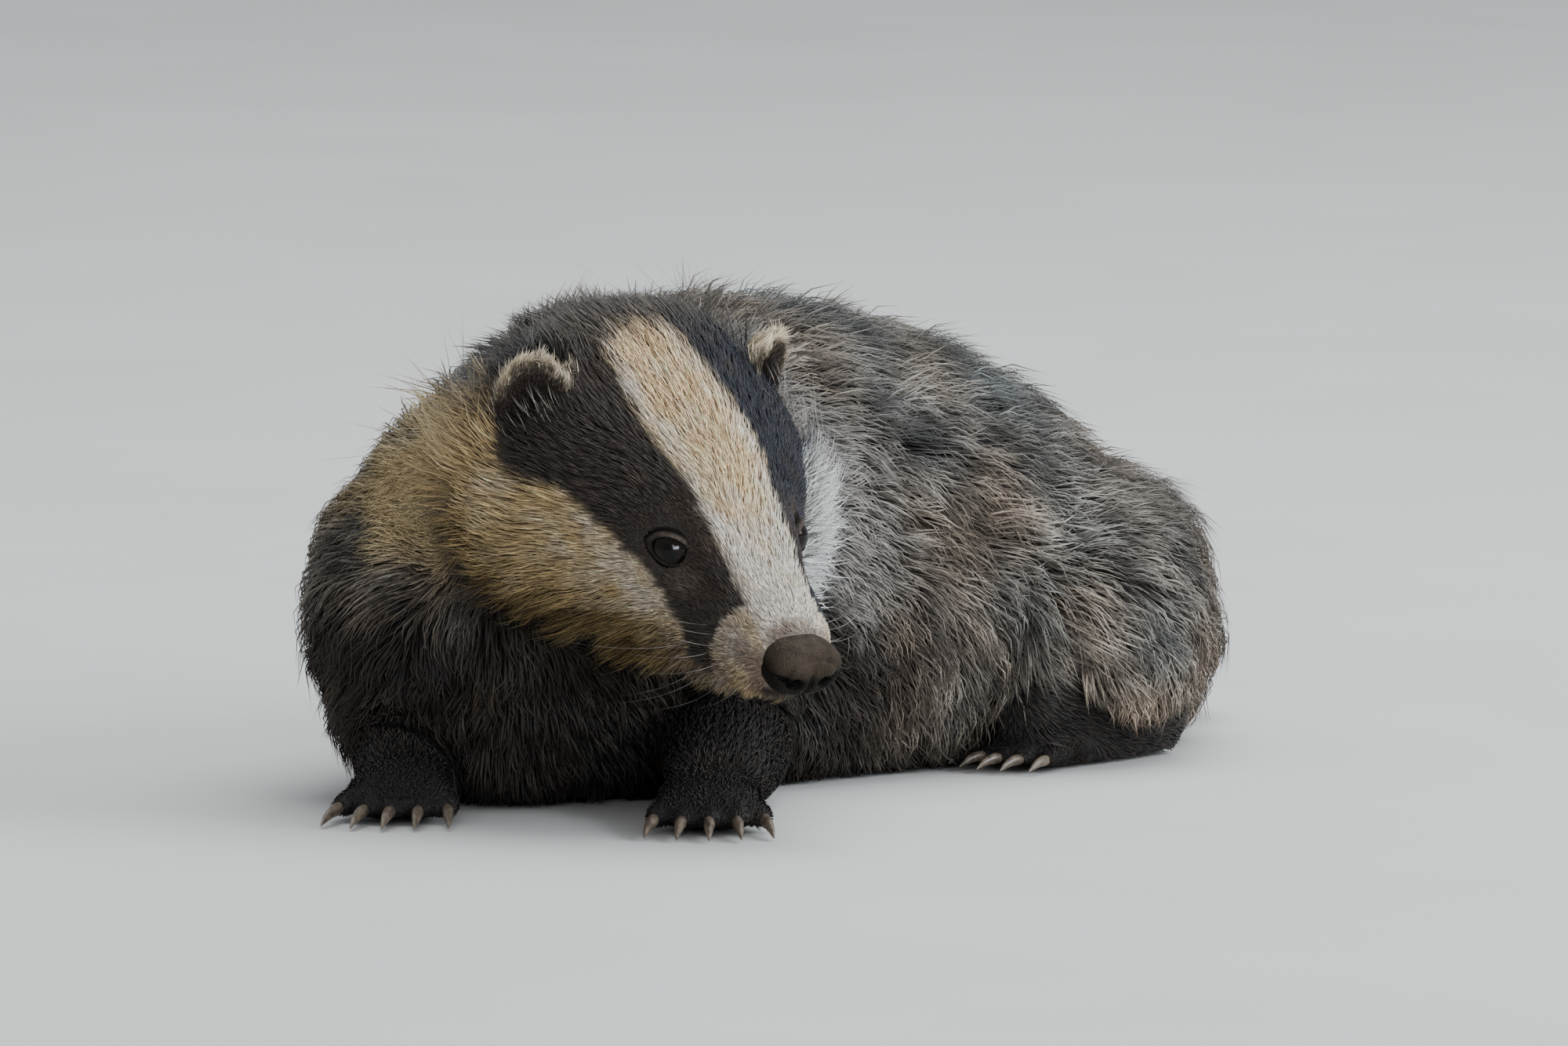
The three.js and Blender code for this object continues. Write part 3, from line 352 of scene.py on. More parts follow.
def ear_points(side, s, angle):
    """Ear at s from the back's middle (0) over the rim to the cup's floor (1), at an angle round the outline:
    an oval of wide by high, scaled by the profile, leaning outward."""
    s, angle = np.broadcast_arrays(np.asarray(s, float), np.asarray(angle, float))
    size, depth = np.moveaxis(spline(EAR_PROFILE, s), -1, 0)
    local = np.stack([EAR["wide"] * size * np.cos(angle), depth, EAR["high"] * size * np.sin(angle)], -1)
    turn = turned(-EAR["outward"] * side) @ turned(roll=EAR["lean"] * side)
    return local @ turn.T + np.array([EAR["across"] * side, EAR["y"], EAR["z"]])


def toe_line(limb, place):
    """Sizes of a toe, and a function for x and y at a reach along it. Toes fan out and lie further back the
    further they are from the middle one."""
    toe, palm = (FORE_TOE, FORE_PALM) if limb["fore"] else (HIND_TOE, HIND_PALM)
    x, fan = palm["rows"][-1, 0] + place * toe["spacing"], -degrees(place * toe["fan"])
    y = toe["y"] - toe["arc"] * place ** 2
    return toe, lambda reach: (x - np.sin(fan) * reach, y + np.cos(fan) * reach)


def toe_forms(limb):
    """Five toes of a paw as forms in the limb's frame: station by station, shares of length, height and radius."""
    toes = []
    for place in TOE_PLACES:
        toe, along = toe_line(limb, place)
        reach = np.array([-0.9, -0.1, 0.62, 0.94]) * toe["length"]
        height = np.array([1.3, 1.15, 1.0, 0.9]) * toe["z"]
        size = np.array([0.7, 1.0, 0.92, 0.66]) * toe["radius"]
        toes.append(form(np.stack([*along(reach), height, size, size, size], 1), dome=1.2))
    return toes


print("top of the right ear in the head's frame:", ear_points(1, 0.44, np.pi / 2).round(1))

# %% [markdown]
# ## One skin
# The forms overlap like rolled clay. Blender's voxel remesh fuses them into one closed surface, and relaxing
# that surface rounds the creases where a leg or the neck joins the trunk. The skin lies inside the solids by
# the depth of the coat: deep on the trunk, almost nothing on the face.

# %% Fusing the forms
FLOOR = 0.5
VOXEL = 1.75
BODY, FACE, LEG, PAW, EAR_PART = range(5)
PARTS = [  # grow: skin above the form, hair: its length, turned: how much it falls down the sides, name: solid
    dict(form=TORSO, place=place_body, grow=2, region=BODY, hair=36, turned=1.0, name="torso"),
    dict(form=NECK, place=place_body, grow=2, region=BODY, hair=29, turned=0.6, name="neck"),
    dict(form=HAUNCH, place=place_body, grow=0, region=BODY, hair=34, turned=1.0, name="torso"),
    dict(form=TAIL, place=place_body, grow=0, region=BODY, hair=26, turned=0.2, name="tail"),
    dict(form=HEAD, place=place_head, grow=-1.6, region=FACE, hair=8, turned=0.45, name="head"),
    dict(form=FAN_PAD, place=place_body, grow=0, region=BODY, hair=24, turned=0.4, name="neck"),
    dict(form=FLANK_PAD, place=place_body, grow=0, region=BODY, hair=34, turned=1.0, name="torso"),
]
for limb in LIMBS:
    upper, lower, palm = (UPPER_ARM, FOREARM, FORE_PALM) if limb["fore"] else (THIGH, SHANK, HIND_PALM)
    common = dict(place=place_limb(limb), turned=0.0)
    leg, paw = dict(name=limb["leg"], **common), dict(name=limb["paw"], region=PAW, **common)
    PARTS += [
        dict(form=upper, grow=2, region=BODY, hair=17 if limb["fore"] else 27, **leg),
        dict(form=lower, grow=1.2, region=LEG, hair=9, **leg),
        dict(form=palm, grow=-0.8, hair=5, **paw),
    ]
    PARTS += [dict(form=toe, grow=-0.5, hair=3.2, **paw) for toe in toe_forms(limb)]

shells = [closed_grid(p["form"], 90, 72, p["place"], p["grow"], FLOOR) for p in PARTS]
for side in SIDES.values():
    s, angle = np.linspace(0, 1, 60)[:, None], np.linspace(0, 2 * np.pi, 60, endpoint=False)[None]
    shells.append((place_head(ear_points(side, s, angle)).reshape(-1, 3), grid_faces(60, 60)))
rough = mesh_piece("rough", *joined(shells))
remesh = rough.modifiers.new("fuse", "REMESH")
remesh.mode, remesh.voxel_size = "VOXEL", VOXEL * MM
fused = bpy.data.meshes.new_from_object(rough.evaluated_get(bpy.context.evaluated_depsgraph_get()))
bpy.data.objects.remove(rough)


def arrays_of(mesh):
    """Points in millimetres, four-sided faces and edges of a mesh."""
    points = np.empty(len(mesh.vertices) * 3, np.float32)
    mesh.vertices.foreach_get("co", points)
    corners = np.empty(len(mesh.loops), np.int32)
    mesh.loops.foreach_get("vertex_index", corners)
    edges = np.empty(len(mesh.edges) * 2, np.int32)
    mesh.edges.foreach_get("vertices", edges)
    return points.reshape(-1, 3).astype(float) / MM, corners.reshape(-1, 4), edges.reshape(-1, 2)


skin_points, skin_faces, skin_edges = arrays_of(fused)
print("skin:", len(skin_points), "points,", 2 * len(skin_faces), "triangles")

# %% [markdown]
# To relax a surface, each point moves towards the mean of its neighbours. The same averaging smooths any field
# that is carried on the skin, such as the lie of the hair, so one function does both.

# %% Relaxing the skin
links = np.concatenate([skin_edges, skin_edges[:, ::-1]])
neighbours = np.bincount(links[:, 0], minlength=len(skin_points))


def averaged(values, rounds, share=0.5):
    """Each row of values moved a share of the way to the mean of its neighbours, so many times over."""
    for _ in range(rounds):
        sums = np.stack([np.bincount(links[:, 0], column[links[:, 1]], len(values)) for column in values.T], 1)
        values = mix(values, sums / neighbours[:, None], share)
    return values


skin_points = averaged(skin_points, 5)
skin_points[:, 2] = np.maximum(skin_points[:, 2], FLOOR)


def normals_of(points, faces):
    """Outward normal at each point, the mean of its faces' normals weighted by area."""
    a, b, c, d = (points[faces[:, k]] for k in range(4))
    face_normals = np.cross(c - a, d - b)
    total = np.stack([np.bincount(faces.ravel(), np.repeat(part, 4), len(points)) for part in face_normals.T], 1)
    return unit(total)


skin_normals = normals_of(skin_points, skin_faces)
print("relaxed skin from", skin_points.min(axis=0).round(1), "to", skin_points.max(axis=0).round(1))

# %% [markdown]
# ## What each spot of skin knows
# Every point of the skin looks up the nearest point of the forms, and takes from it the region, the length of
# the hair and the way that the hair lies. Hair lies back from the nose and down the flank, as rain runs off.

# %% How hair lies on a form
LIE = dict(along=8, fall=40, bend=0.8)


def lie(f, u, angle, share, grow):
    """Way that the hair lies: along the form, turned down its sides by more degrees the lower the place."""
    along, around, _ = steps(f, u, angle, grow)
    fall = degrees(LIE["along"] + LIE["fall"] * (1 - np.sin(angle)) ** LIE["bend"]) * share
    heading = (-np.sign(np.cos(angle)) * fall)[..., None]
    return along * np.cos(heading) + around * np.sin(heading)


def near_map(samples, cell=3.0, reach=9):
    """Lookup of a near sample for any point. Space is cut into small cells, each sample marks its own cell, and
    marks spread to empty neighbours as often as `reach` says, so a point only has to read its cell."""
    low = samples.min(axis=0) - (reach + 1) * cell
    shape = np.ceil((samples.max(axis=0) - low) / cell).astype(int) + reach + 2
    marks = np.full(shape, -1)
    marks[tuple(((samples - low) / cell).astype(int).T)] = np.arange(len(samples))
    for _ in range(reach):
        for axis in (0, 1, 2):
            for step in (1, -1):
                marks = np.where(marks < 0, np.roll(marks, step, axis), marks)
    return lambda points: np.maximum(marks[tuple(np.clip(((points - low) / cell).astype(int), 0, shape - 1).T)], 0)


print("hair turns down by", [round(LIE["along"] + LIE["fall"] * k ** LIE["bend"]) for k in (0, 1, 2)], "degrees")

# %% [markdown]
# Each form is sampled on a grid, and a sample carries one row of numbers. The ears have no form of their own in
# the list, so they count as -1 and -2. Their hair grows outward from the middle of the back and up over the rim.

# %% Samples of the forms
FLOW, KIND, HAIR, PLACE = slice(0, 3), slice(3, 8), slice(8, 9), slice(9, 12)
EAR_NUMBER = {1: -1, -1: -2}
sample_points, sample_rows = [], []


def take_samples(points, flow, region, hair, along, angle, number):
    """Add samples: way of the hair, a one in the region's column, length of hair, and place on which form."""
    kinds = np.eye(5)[np.full(along.shape, region)]
    facts = np.stack([np.full(along.shape, hair), along, angle, np.full(along.shape, number)], -1)
    sample_points.append(points.reshape(-1, 3))
    sample_rows.append(np.concatenate([flow, kinds, facts], -1).reshape(-1, 12))


def sample_grid(low, high, rows, columns):
    """Rows of places along a form and columns of angles round it."""
    turn = np.linspace(0, 2 * np.pi, columns, endpoint=False)
    return np.meshgrid(np.linspace(low, high, rows), turn, indexing="ij")


for number, p in enumerate(PARTS):
    u, angle = sample_grid(-0.95, 1.95, 60, 48)
    if p["region"] == PAW:
        u, angle = u[::4, ::4], angle[::4, ::4]
    spots = p["place"](surface(p["form"], u, angle, p["grow"]))
    flow = p["place"](lie(p["form"], u, angle, p["turned"], p["grow"])) - p["place"](np.zeros(3))
    take_samples(spots, flow, p["region"], p["hair"], u, angle, number)
for side in SIDES.values():
    s, angle = sample_grid(0.02, 0.98, 24, 24)
    radial = ear_points(side, s + STEP, angle) - ear_points(side, s - STEP, angle)
    radial = radial * np.where(s < 0.45, 1, -1)[..., None]
    flow = unit(0.55 * unit(radial) + 1.1 * UP) @ HEAD_TURN.T
    take_samples(place_head(ear_points(side, s, angle)), flow, EAR_PART, 7.0, s, angle, EAR_NUMBER[side])
sample_points, sample_rows = np.concatenate(sample_points), np.concatenate(sample_rows)
own = sample_rows[near_map(sample_points)(skin_points)]
form_number = own[:, 11].astype(int)
print("samples", len(sample_points))

# %% [markdown]
# On the trunk each form's own lie would meet the next one's in whorls. There the spine leads instead: hair runs
# tailward beside it and turns down with the slope of the skin. Only the slope of the whole body counts, so the
# normals are averaged until folds vanish. Down the chest the hair falls straight, and the fan of long hair behind
# the right cheek sweeps out over the shoulder. Averaging the fields over the skin hides the joins between forms.

# %% Fields on the skin
SPINE_POINTS = 120
FAN = dict(middle=(-103, -95, 86), reach=(34, 60, 32), way=(-0.95, 0.22, 0.06))


def in_plane(flow, normals, share=1.0):
    """Flow with its part along the normal taken out, at length one."""
    return unit(flow - normals * (flow * normals).sum(1, keepdims=True) * share)


def down_the_front(points, flow, share):
    """The flow turned towards straight down and outward by share, for the chest and the front of the shoulders."""
    x = points[..., 0]
    target = unit(np.stack([(x + 70) * 0.012, 0 * x + 0.25, 0 * x - 0.8], -1))
    return unit(flow + (target - flow) * share[..., None])


def trunk_flow(points, normals):
    """Way of the hair on trunk, shoulders and thighs: tailward beside the spine, which is a mean of its
    directions weighted by nearness, turned down the sides by more the more the skin faces outward and down."""
    spine = place_body(spline(TORSO["rows"], np.linspace(0, 1, SPINE_POINTS))[:, :3])
    ahead = unit(np.gradient(spine, axis=0) * np.array([1, 1, 0.3]))
    weight = np.exp(-(((points[:, None, :2] - spine[None, :, :2]) / 34) ** 2).sum(2))
    weight /= weight.sum(1, keepdims=True)
    tailward = in_plane(weight @ ahead, normals, 0.9)
    down = -UP + normals * normals[:, 2:]
    down = down / np.maximum(np.linalg.norm(down, axis=1, keepdims=True), 0.3)
    fall = 6 + 30 * np.clip(1 - normals[:, 2], 0, 2) ** 0.8 + 22 * smoothstep(75, 25, points[:, 2])
    fall = degrees(fall)[:, None]
    flow = tailward * np.cos(fall) + down * np.sin(fall)
    return down_the_front(points, flow, smoothstep(0.16, 0.0, weight @ np.linspace(0, 1, SPINE_POINTS)))


soft_normals = unit(averaged(skin_normals, 60))
led_by_spine = [any(p["form"] is f for f in (TORSO, HAUNCH, UPPER_ARM, THIGH, FAN_PAD, FLANK_PAD)) for p in PARTS]
led = np.array(led_by_spine + [False, False])[form_number]
own[led, FLOW] = trunk_flow(skin_points[led], soft_normals[led])
fan = smoothstep(1.0, 0.3, np.linalg.norm((skin_points - FAN["middle"]) / FAN["reach"], axis=1))
fan = fan * smoothstep(0.5, 0.2, soft_normals[:, 1]) * led
own[:, FLOW] = unit(own[:, FLOW] + (FAN["way"] - own[:, FLOW]) * fan[:, None])
skin_flow = in_plane(averaged(own[:, FLOW], 24), skin_normals)
skin_kind = averaged(own[:, KIND], 6)
skin_hair = averaged(own[:, HAIR], 14)[:, 0]
skin_place = own[:, PLACE]
print("fields on", len(own), "points,", int(led.sum()), "of them led by the spine")

# %% [markdown]
# ## Markings
# The face carries the badger's pattern: a pale stripe from the nose over the crown, a black stripe through each
# eye that reaches from the lip to the nape, and pale cheeks below. The body is grizzled, because each guard hair
# is buff at its root, dark further up and pale at its tip, while throat, belly and legs are plain black-brown.
# The pattern is worked out from places on the head, so skin and hair agree at every spot.

# %% Pattern of the face
# distances back from the nose in mm, with half widths and offsets in mm or angles above the widest line in degrees
STRIPE_Y = [12, 24, 34, 44, 58, 74, 90, 108, 140]
STRIPE_HALF = [11.0, 11.1, 11.6, 11.9, 13.1, 15.3, 14.6, 11.7, 8.0]
STRIPE_MIDDLE = [0.0, -0.6, -0.3, 0.4, 0.7, 1.7, 2.9, 4.9, 5.0]
CHEEK_Y = [20, 31, 34, 38, 44, 54, 65, 80, 86, 91, 97, 104, 112, 122]
CHEEK_ANGLE = [-38, -38, -25, -8, -1, 9, 16, 21, 17, 12, 10.5, 14, 25, 36]
THROAT_Y = [30, 60, 80, 95, 110, 125]
THROAT_ANGLE = [-76, -68, -58, -48, -34, -26]
MUZZLE_END = {1: 24, -1: 19}
MM_PER_DEGREE = 0.0175  # for each millimetre of half width
EYES = {side: eye_frame(side, EYE_SEEN) for side in SIDES.values()}


def cloud(points, size, seed):
    """Soft patches of about that size: the mean of waves in random directions, from about -1 to 1."""
    waves = np.random.default_rng(seed)
    directions = unit(waves.normal(size=(14, 3))) * (2 * np.pi / size / waves.uniform(0.7, 1.6, (14, 1)))
    return np.sin(points @ directions.T + waves.uniform(0, 2 * np.pi, 14)).sum(1) / 3.2


def head_section(h):
    """Place of head points on the head's own sections: distance back from the nose, angle above the widest line
    (the superellipse turned back into its angle) and how far out they are, 1 on the surface."""
    rows, back = HEAD["rows"], -h[:, 1]
    middle, half, rise, drop = (np.interp(back, -rows[:, 1], rows[:, k]) for k in (2, 3, 4, 5))
    above = h[:, 2] - middle
    tall, wide = np.abs(above) / np.where(above > 0, rise, drop), np.abs(h[:, 0]) / half
    q = HEAD["squareness"]
    angle = np.degrees(np.arctan2(np.sign(above) * tall ** (q / 2), wide ** (q / 2)))
    return back, angle, (tall ** q + wide ** q) ** (1 / q), half


def ragged_edge(points):
    """Small in-and-out of a marking's edge, from about -1 to 1."""
    return cloud(points, 9, 11) * 0.5 + cloud(points, 3.5, 12) * 0.35


def face_pattern(points):
    """Shares of black stripe, throat, middle stripe and face at points, each from signed distances in mm."""
    h = into_head(points)
    back, angle, outness, half = head_section(h)
    ragged = ragged_edge(points)
    degree = half * MM_PER_DEGREE
    beside = np.abs(h[:, 0] - np.interp(back, STRIPE_Y, STRIPE_MIDDLE)) - np.interp(back, STRIPE_Y, STRIPE_HALF)
    lower = -4 * smoothstep(58, 70, back) * (h[:, 0] < 0)
    over_cheek = (angle - np.interp(back, CHEEK_Y, CHEEK_ANGLE) + lower) * degree
    behind = back - np.where(h[:, 0] > 0, MUZZLE_END[1], MUZZLE_END[-1])
    blur = np.interp(back, [20, 60, 120], [0.9, 1.6, 3.5])
    black = smoothstep(-blur, blur, np.minimum(np.minimum(beside, over_cheek), behind) + ragged)
    throat = smoothstep(-4, 5, (np.interp(back, THROAT_Y, THROAT_ANGLE) - angle) * degree + ragged * 4)
    chin = smoothstep(-38, -52, angle + 8 * ragged) * smoothstep(17, 10, back)
    throat = np.maximum(throat * smoothstep(34, 46, back), chin)
    crown = smoothstep(-blur, blur, -beside + ragged) * smoothstep(0, 25, angle)
    above = smoothstep(10, 45, angle)
    face = 1 - smoothstep(118 - 14 * above, 142 - 25 * above, back + ragged * 3 - np.clip(angle, -60, 0) * 0.2)
    face *= smoothstep(1.5, 1.25, outness)
    return black, throat, crown, face


print("mean shares of black, throat, stripe and face:", [round(float(f.mean()), 3) for f in face_pattern(skin_points)])

# %% [markdown]
# Behind each cheek the pale hair runs on over the body as a fan. Its share is worked out on its own, because it
# also makes the hair there denser, shorter and finer.

# %% The fans behind the cheeks
RUFFS = [  # middle of each fan, right and left, and how far it reaches across, along, up and down
    (np.array([-97.0, -100, 88]), (26, 60, 24, 17)),
    (np.array([14.0, -44, 76]), (19, 27, 29, 38)),
]


def ruff_share(points):
    """How much each cheek's fan spreads over neck and shoulder: an egg round its middle with a ragged edge."""
    ragged = cloud(points, 14, 13) * 0.14
    shares = []
    for middle, (across, along, up, down) in RUFFS:
        away = points - middle
        tall = np.where(away[:, 2] > 0, up, down)
        reach = np.stack([0 * tall + across, 0 * tall + along, tall], 1)
        shares.append(smoothstep(1.45, 0.6, np.linalg.norm(away / reach, axis=1) + ragged))
    return shares


print("share of the skin in each fan", [round(float(share.mean()), 3) for share in ruff_share(skin_points)])

# %% [markdown]
# Colours are kept as linear values. A hair has three of them, at its root, in its dark band and at its tip. On
# the face all three are close together, and on the body they differ, which is what makes the grizzled look. The
# left side of the face is painted cooler and bluer, as sky light falls on it, so the right looks warmer, and
# the jaw below the cheek is painted in shade.

# %% Hair colours
WHITE, GOLD, CHEEK = np.array([[0.88, 0.83, 0.75], [0.86, 0.64, 0.39], [0.62, 0.47, 0.245]])
BLACK, BROWN, ROSE = np.array([[0.020, 0.017, 0.015], [0.060, 0.040, 0.028], [0.10, 0.06, 0.045]])
STRAW, STRAW_ABOVE = np.array([[0.51, 0.465, 0.41], [0.50, 0.47, 0.43]])
SLATE, BUFF = np.array([[0.078, 0.073, 0.071], [0.25, 0.205, 0.16]])
# The left cheek's white and the left stripe's black are painted bluish, as sky light falls on them.
SKYLIT_LEFT_WHITE, LEFT_REAR = np.array([[0.82, 0.87, 0.90], [0.36, 0.335, 0.31]])
SKYLIT_LEFT_NIGHT, RIGHT_NIGHT = np.array([[0.029, 0.031, 0.041], [0.046, 0.036, 0.029]])
NOSE_RIM, LIP, UNDER_EYE = np.array([[0.22, 0.15, 0.11], [0.20, 0.15, 0.115], [0.15, 0.12, 0.095]])
JAW_SHADE, FACE_ROOT, LOW_SHADE = np.array([[0.26, 0.24, 0.17], [0.80, 0.70, 0.58], [0.92, 0.88, 0.84]])
FAN_TIPS = (CHEEK * 1.12, np.array([0.40, 0.375, 0.345]))
EAR_CREAM = np.array([0.74, 0.63, 0.46])
PLAIN = np.ones(3)


def between(a, b, share):
    """One colour for each share, from a at 0 to b at 1."""
    return a + (b - a) * np.asarray(share)[:, None]


def nearest_gap(points, spots, scale=1.0):
    """Distance of each point from the nearest of a few spots."""
    return np.min([np.linalg.norm((points - spot) * scale, axis=1) for spot in spots], axis=0)


print("a hair between white and gold:", between(WHITE, GOLD, [0.5])[0].round(3))

# %% [markdown]
# The pale hair is built up in washes, as a painter would: a ground colour first, and then each tint with the
# share that it has at a place. The dark hair has a warm patch about the eye and a paler one under it where the
# skin shows through, and on the left it is painted bluer with sky light.

# %% Colours of the face
def pale_face(points, h, back, angle, crown):
    """The pale hair: stripe and cheeks, painted cool with sky light on the left, with the nose's rim, flecks, painted
    jaw shade and lip laid over.
    """
    patch, fine = cloud(points, 26, 21), cloud(points, 7, 22)
    half = np.interp(back, STRIPE_Y, STRIPE_HALF)
    middle = np.abs(h[:, 0] - np.interp(back, STRIPE_Y, STRIPE_MIDDLE)) / half
    gold = smoothstep(22, 66, back) * smoothstep(126, 112, back) * (0.35 + 0.6 * smoothstep(1.0, 0.45, middle))
    stripe = between(WHITE, GOLD, np.clip(gold + 0.16 * fine, 0, 1))
    tan = 0.5 + 0.45 * smoothstep(45, 85, back) + 0.2 * smoothstep(0, -50, angle) + 0.15 * fine + 0.12 * patch
    light = between(between(WHITE * 0.95, CHEEK, np.clip(tan, 0, 1)), stripe, crown)
    left_cheek = smoothstep(-5, -22, h[:, 0]) * (angle < 40)
    # On the left the white is painted bluish, as sky light falls on it.
    light = between(light, SKYLIT_LEFT_WHITE, left_cheek * smoothstep(25, 50, back))
    light = between(light, LEFT_REAR, 0.8 * left_cheek * smoothstep(82, 102, back + 3 * fine))
    flecks = smoothstep(0.2, 0.9, cloud(points, 2.6, 23)) * smoothstep(34, 20, back) * smoothstep(15, -25, angle)
    light = between(light, BROWN * 1.5, 0.75 * flecks)
    light = between(light, NOSE_RIM, smoothstep(19, 9, back + 2 * fine) * 0.85)
    # Painted shade darkens the jaw below the cheek on the right of the face.
    jaw_in_shade = smoothstep(2, -44, angle + 6 * ragged_edge(points)) * smoothstep(10, 34, back) * (h[:, 0] > -5)
    light = light * between(PLAIN, JAW_SHADE, jaw_in_shade)
    lip = smoothstep(4.5, 0, half * (1 - middle)) * smoothstep(12, 20, back) * smoothstep(46, 34, back)
    return between(light, LIP, lip * 0.5 * (h[:, 0] > 0))


def dark_face(points, h):
    """The black stripes, browner about the eyes and painted bluer with sky light on the left, with a paler patch below
    each eye's front corner.
    """
    around = bell(nearest_gap(h, [EYES[side][0] + FORWARD * 5 for side in EYES]), 15)
    # On the left the black is painted bluer, as sky light falls on it.
    night = between(SKYLIT_LEFT_NIGHT, RIGHT_NIGHT, smoothstep(-6, 6, h[:, 0]))
    dusk = between(night, BROWN, np.clip(0.9 * around + 0.25 * cloud(points, 7, 22), 0, 1))
    below = [centre + out * 4 + ahead * 8 - above * 4.5 for centre, out, ahead, above in EYES.values()]
    return between(dusk, UNDER_EYE, 0.9 * bell(nearest_gap(h, below, np.array([0.7, 1, 1.3])), 4.5))


brow = surface(HEAD, np.array([0.6]), np.pi / 2)
print("stripe at the brow:", pale_face(place_head(brow), brow, -brow[:, 1], np.full(1, 90.0), np.ones(1)).round(2))

# %% [markdown]
# The coat's three colours vary in soft patches of two or three centimetres, some warmer and some cooler. Back and
# nape are duller than the flank, and the whole coat is painted darker high up, where the lamps light it most, and
# lighter low down, where it lies in shade. The ear's own colours are laid over everything else.

# %% Colours of the coat
def body_coat(points, normals, back, angle):
    """The grizzled coat: pale tip, dark band and buff root, duller on the back and painted darker high up against the
    light, with the fans laid over.
    """
    patch, fine = cloud(points, 26, 21), cloud(points, 7, 22)
    top = smoothstep(0.1, 0.8, normals[:, 2])
    nape = smoothstep(190, 135, back) * smoothstep(-5, 35, angle)
    low = smoothstep(85, 25, points[:, 2])
    tip = between(STRAW, STRAW_ABOVE, top) * (1 + 0.3 * patch + 0.24 * fine)[:, None]
    # The nape's tips are darker, and low down the tips take a little painted shade.
    tip = between(tip, tip * 0.6, nape) * between(PLAIN, LOW_SHADE, low)
    band = between(SLATE, BROWN * 1.3, np.clip(0.38 - 0.38 * top + 0.5 * patch, 0, 1))
    root = between(BUFF, SLATE * 2.2, np.clip(0.55 * top + nape - 0.3 * patch, 0, 1))
    warm = (cloud(points, 34, 24) * 0.5)[:, None] * np.array([0.12, -0.01, -0.12]) + np.array([1.03, 1.0, 0.95])
    # Painted light: each colour is darkened high up, where the lamps light the coat most, and less so low down, where
    # it lies in shade.
    tip, band, root = (colour * warm * between(np.full(3, high), np.full(3, 0.92), low)
                       for colour, high in ((tip, 0.61), (band, 0.42), (root, 0.48)))
    for fan, ruff in zip(FAN_TIPS, ruff_share(points)):
        tip, band, root = (between(colour, fan * share, ruff * 0.9)
                           for colour, share in ((tip, 1.0), (band, 0.75), (root, 0.5)))
    return tip, band, root


def hair_colours(points, dark, normals, ear_place):
    """Root, band and tip colours at points: the face's pattern where the head is, the grizzled coat elsewhere,
    black-brown by the share `dark`, and the ear's own colours by how far round the rim a point is."""
    h = into_head(points)
    back, angle = head_section(h)[:2]
    black, throat, crown, face = face_pattern(points)
    face_tip = between(pale_face(points, h, back, angle, crown), dark_face(points, h), np.maximum(black, throat))
    face_root = face_tip * between(FACE_ROOT, PLAIN, black)
    tip, band, root = body_coat(points, normals, back, angle)
    dark = np.clip(dark + 0.12 * cloud(points, 26, 21) * (dark > 0.05), 0, 1)
    coat = between(root, BLACK, dark), between(band, BLACK, dark), between(tip, BROWN * 0.8, dark)
    s, turn, is_ear = ear_place.T
    rim = np.clip(1.25 * bell(s - 0.43, 0.25), 0, 1) * smoothstep(-0.05, 0.55, np.sin(turn))
    inner = smoothstep(0.58, 0.68, s) * 0.9
    ear = between(between(BLACK * 1.3, EAR_CREAM, rim), ROSE * 0.35, inner)
    return [between(between(on_body, on_face, face), ear, is_ear)
            for on_body, on_face in zip(coat, (face_root, face_tip, face_tip))]


on_back = place_body(np.array([[0.0, 120.0, 120.0]])), UP[None], np.full(1, 300.0), np.zeros(1)
print("tip, band and root on the back:", [colour[0].round(2).tolist() for colour in body_coat(*on_back)])

# %% [markdown]
# Throat, chest, belly and legs are dark. Where the dark begins is read from the place on each form for legs and
# throat, and from heights above the floor for chest and belly. The skin itself is painted darker than its hair, as
# shade in the gaps between tufts.

# %% Markings on the skin
design = skin_points - SHIFT
across, along, high = design.T
underside = smoothstep(0.35, -0.55, np.sin(skin_place[:, 1]))
names = np.array([p["name"] for p in PARTS] + ["ear", "ear"])
of_foreleg = np.char.startswith(names, "fore")[form_number]
of_leg = own[:, KIND][:, [LEG, PAW]].sum(1)
belly = smoothstep(30, 12, high) * smoothstep(72, 48, across)
chest_top = 38 * smoothstep(-95, -55, across) * smoothstep(22, 0, across)
chest_top = 50 + np.maximum(chest_top, 15 * smoothstep(-45, -75, across))
chest = smoothstep(8, -8, high - chest_top) * smoothstep(84, 56, along) * (form_number < 3)
throat_skin = (form_number == 1) * underside
skin_dark = np.max([of_leg, belly, chest, throat_skin, of_foreleg * smoothstep(84, 62, high)], axis=0)
skin_dark = averaged(skin_dark[:, None], 10)[:, 0]
ear_share = skin_kind[:, EAR_PART]
ear_facts = np.stack([skin_place[:, 0], skin_place[:, 1], ear_share], 1)
skin_root, skin_band, skin_tip = hair_colours(skin_points, skin_dark, skin_normals, ear_facts)
# The skin is painted darker than the hair on it, as shade in the gaps between tufts.
shaded_skin_colour = between(skin_band * 0.6 + skin_root * 0.2, skin_tip * 0.5, skin_kind[:, FACE])
print("dark share", round(float(skin_dark.mean()), 3))

# %% [markdown]
# ## Finishes
# Each finish is a small tree of nodes. Colour comes from the pattern carried on the points, broken up by fine
# noise at the scale of single hairs, and a bump gives the surface its grain.

# %% Material helpers
def finish(name, roughness, **inputs):
    """A new material with a Principled shader, its sockets set by name, and shortcuts to its tree."""
    material = bpy.data.materials.new(name)
    material.use_nodes = True
    tree = material.node_tree
    shader = tree.nodes["Principled BSDF"]
    shader.inputs["Roughness"].default_value = roughness
    for socket, value in inputs.items():
        shader.inputs[socket.replace("_", " ")].default_value = value
    return material, tree, shader


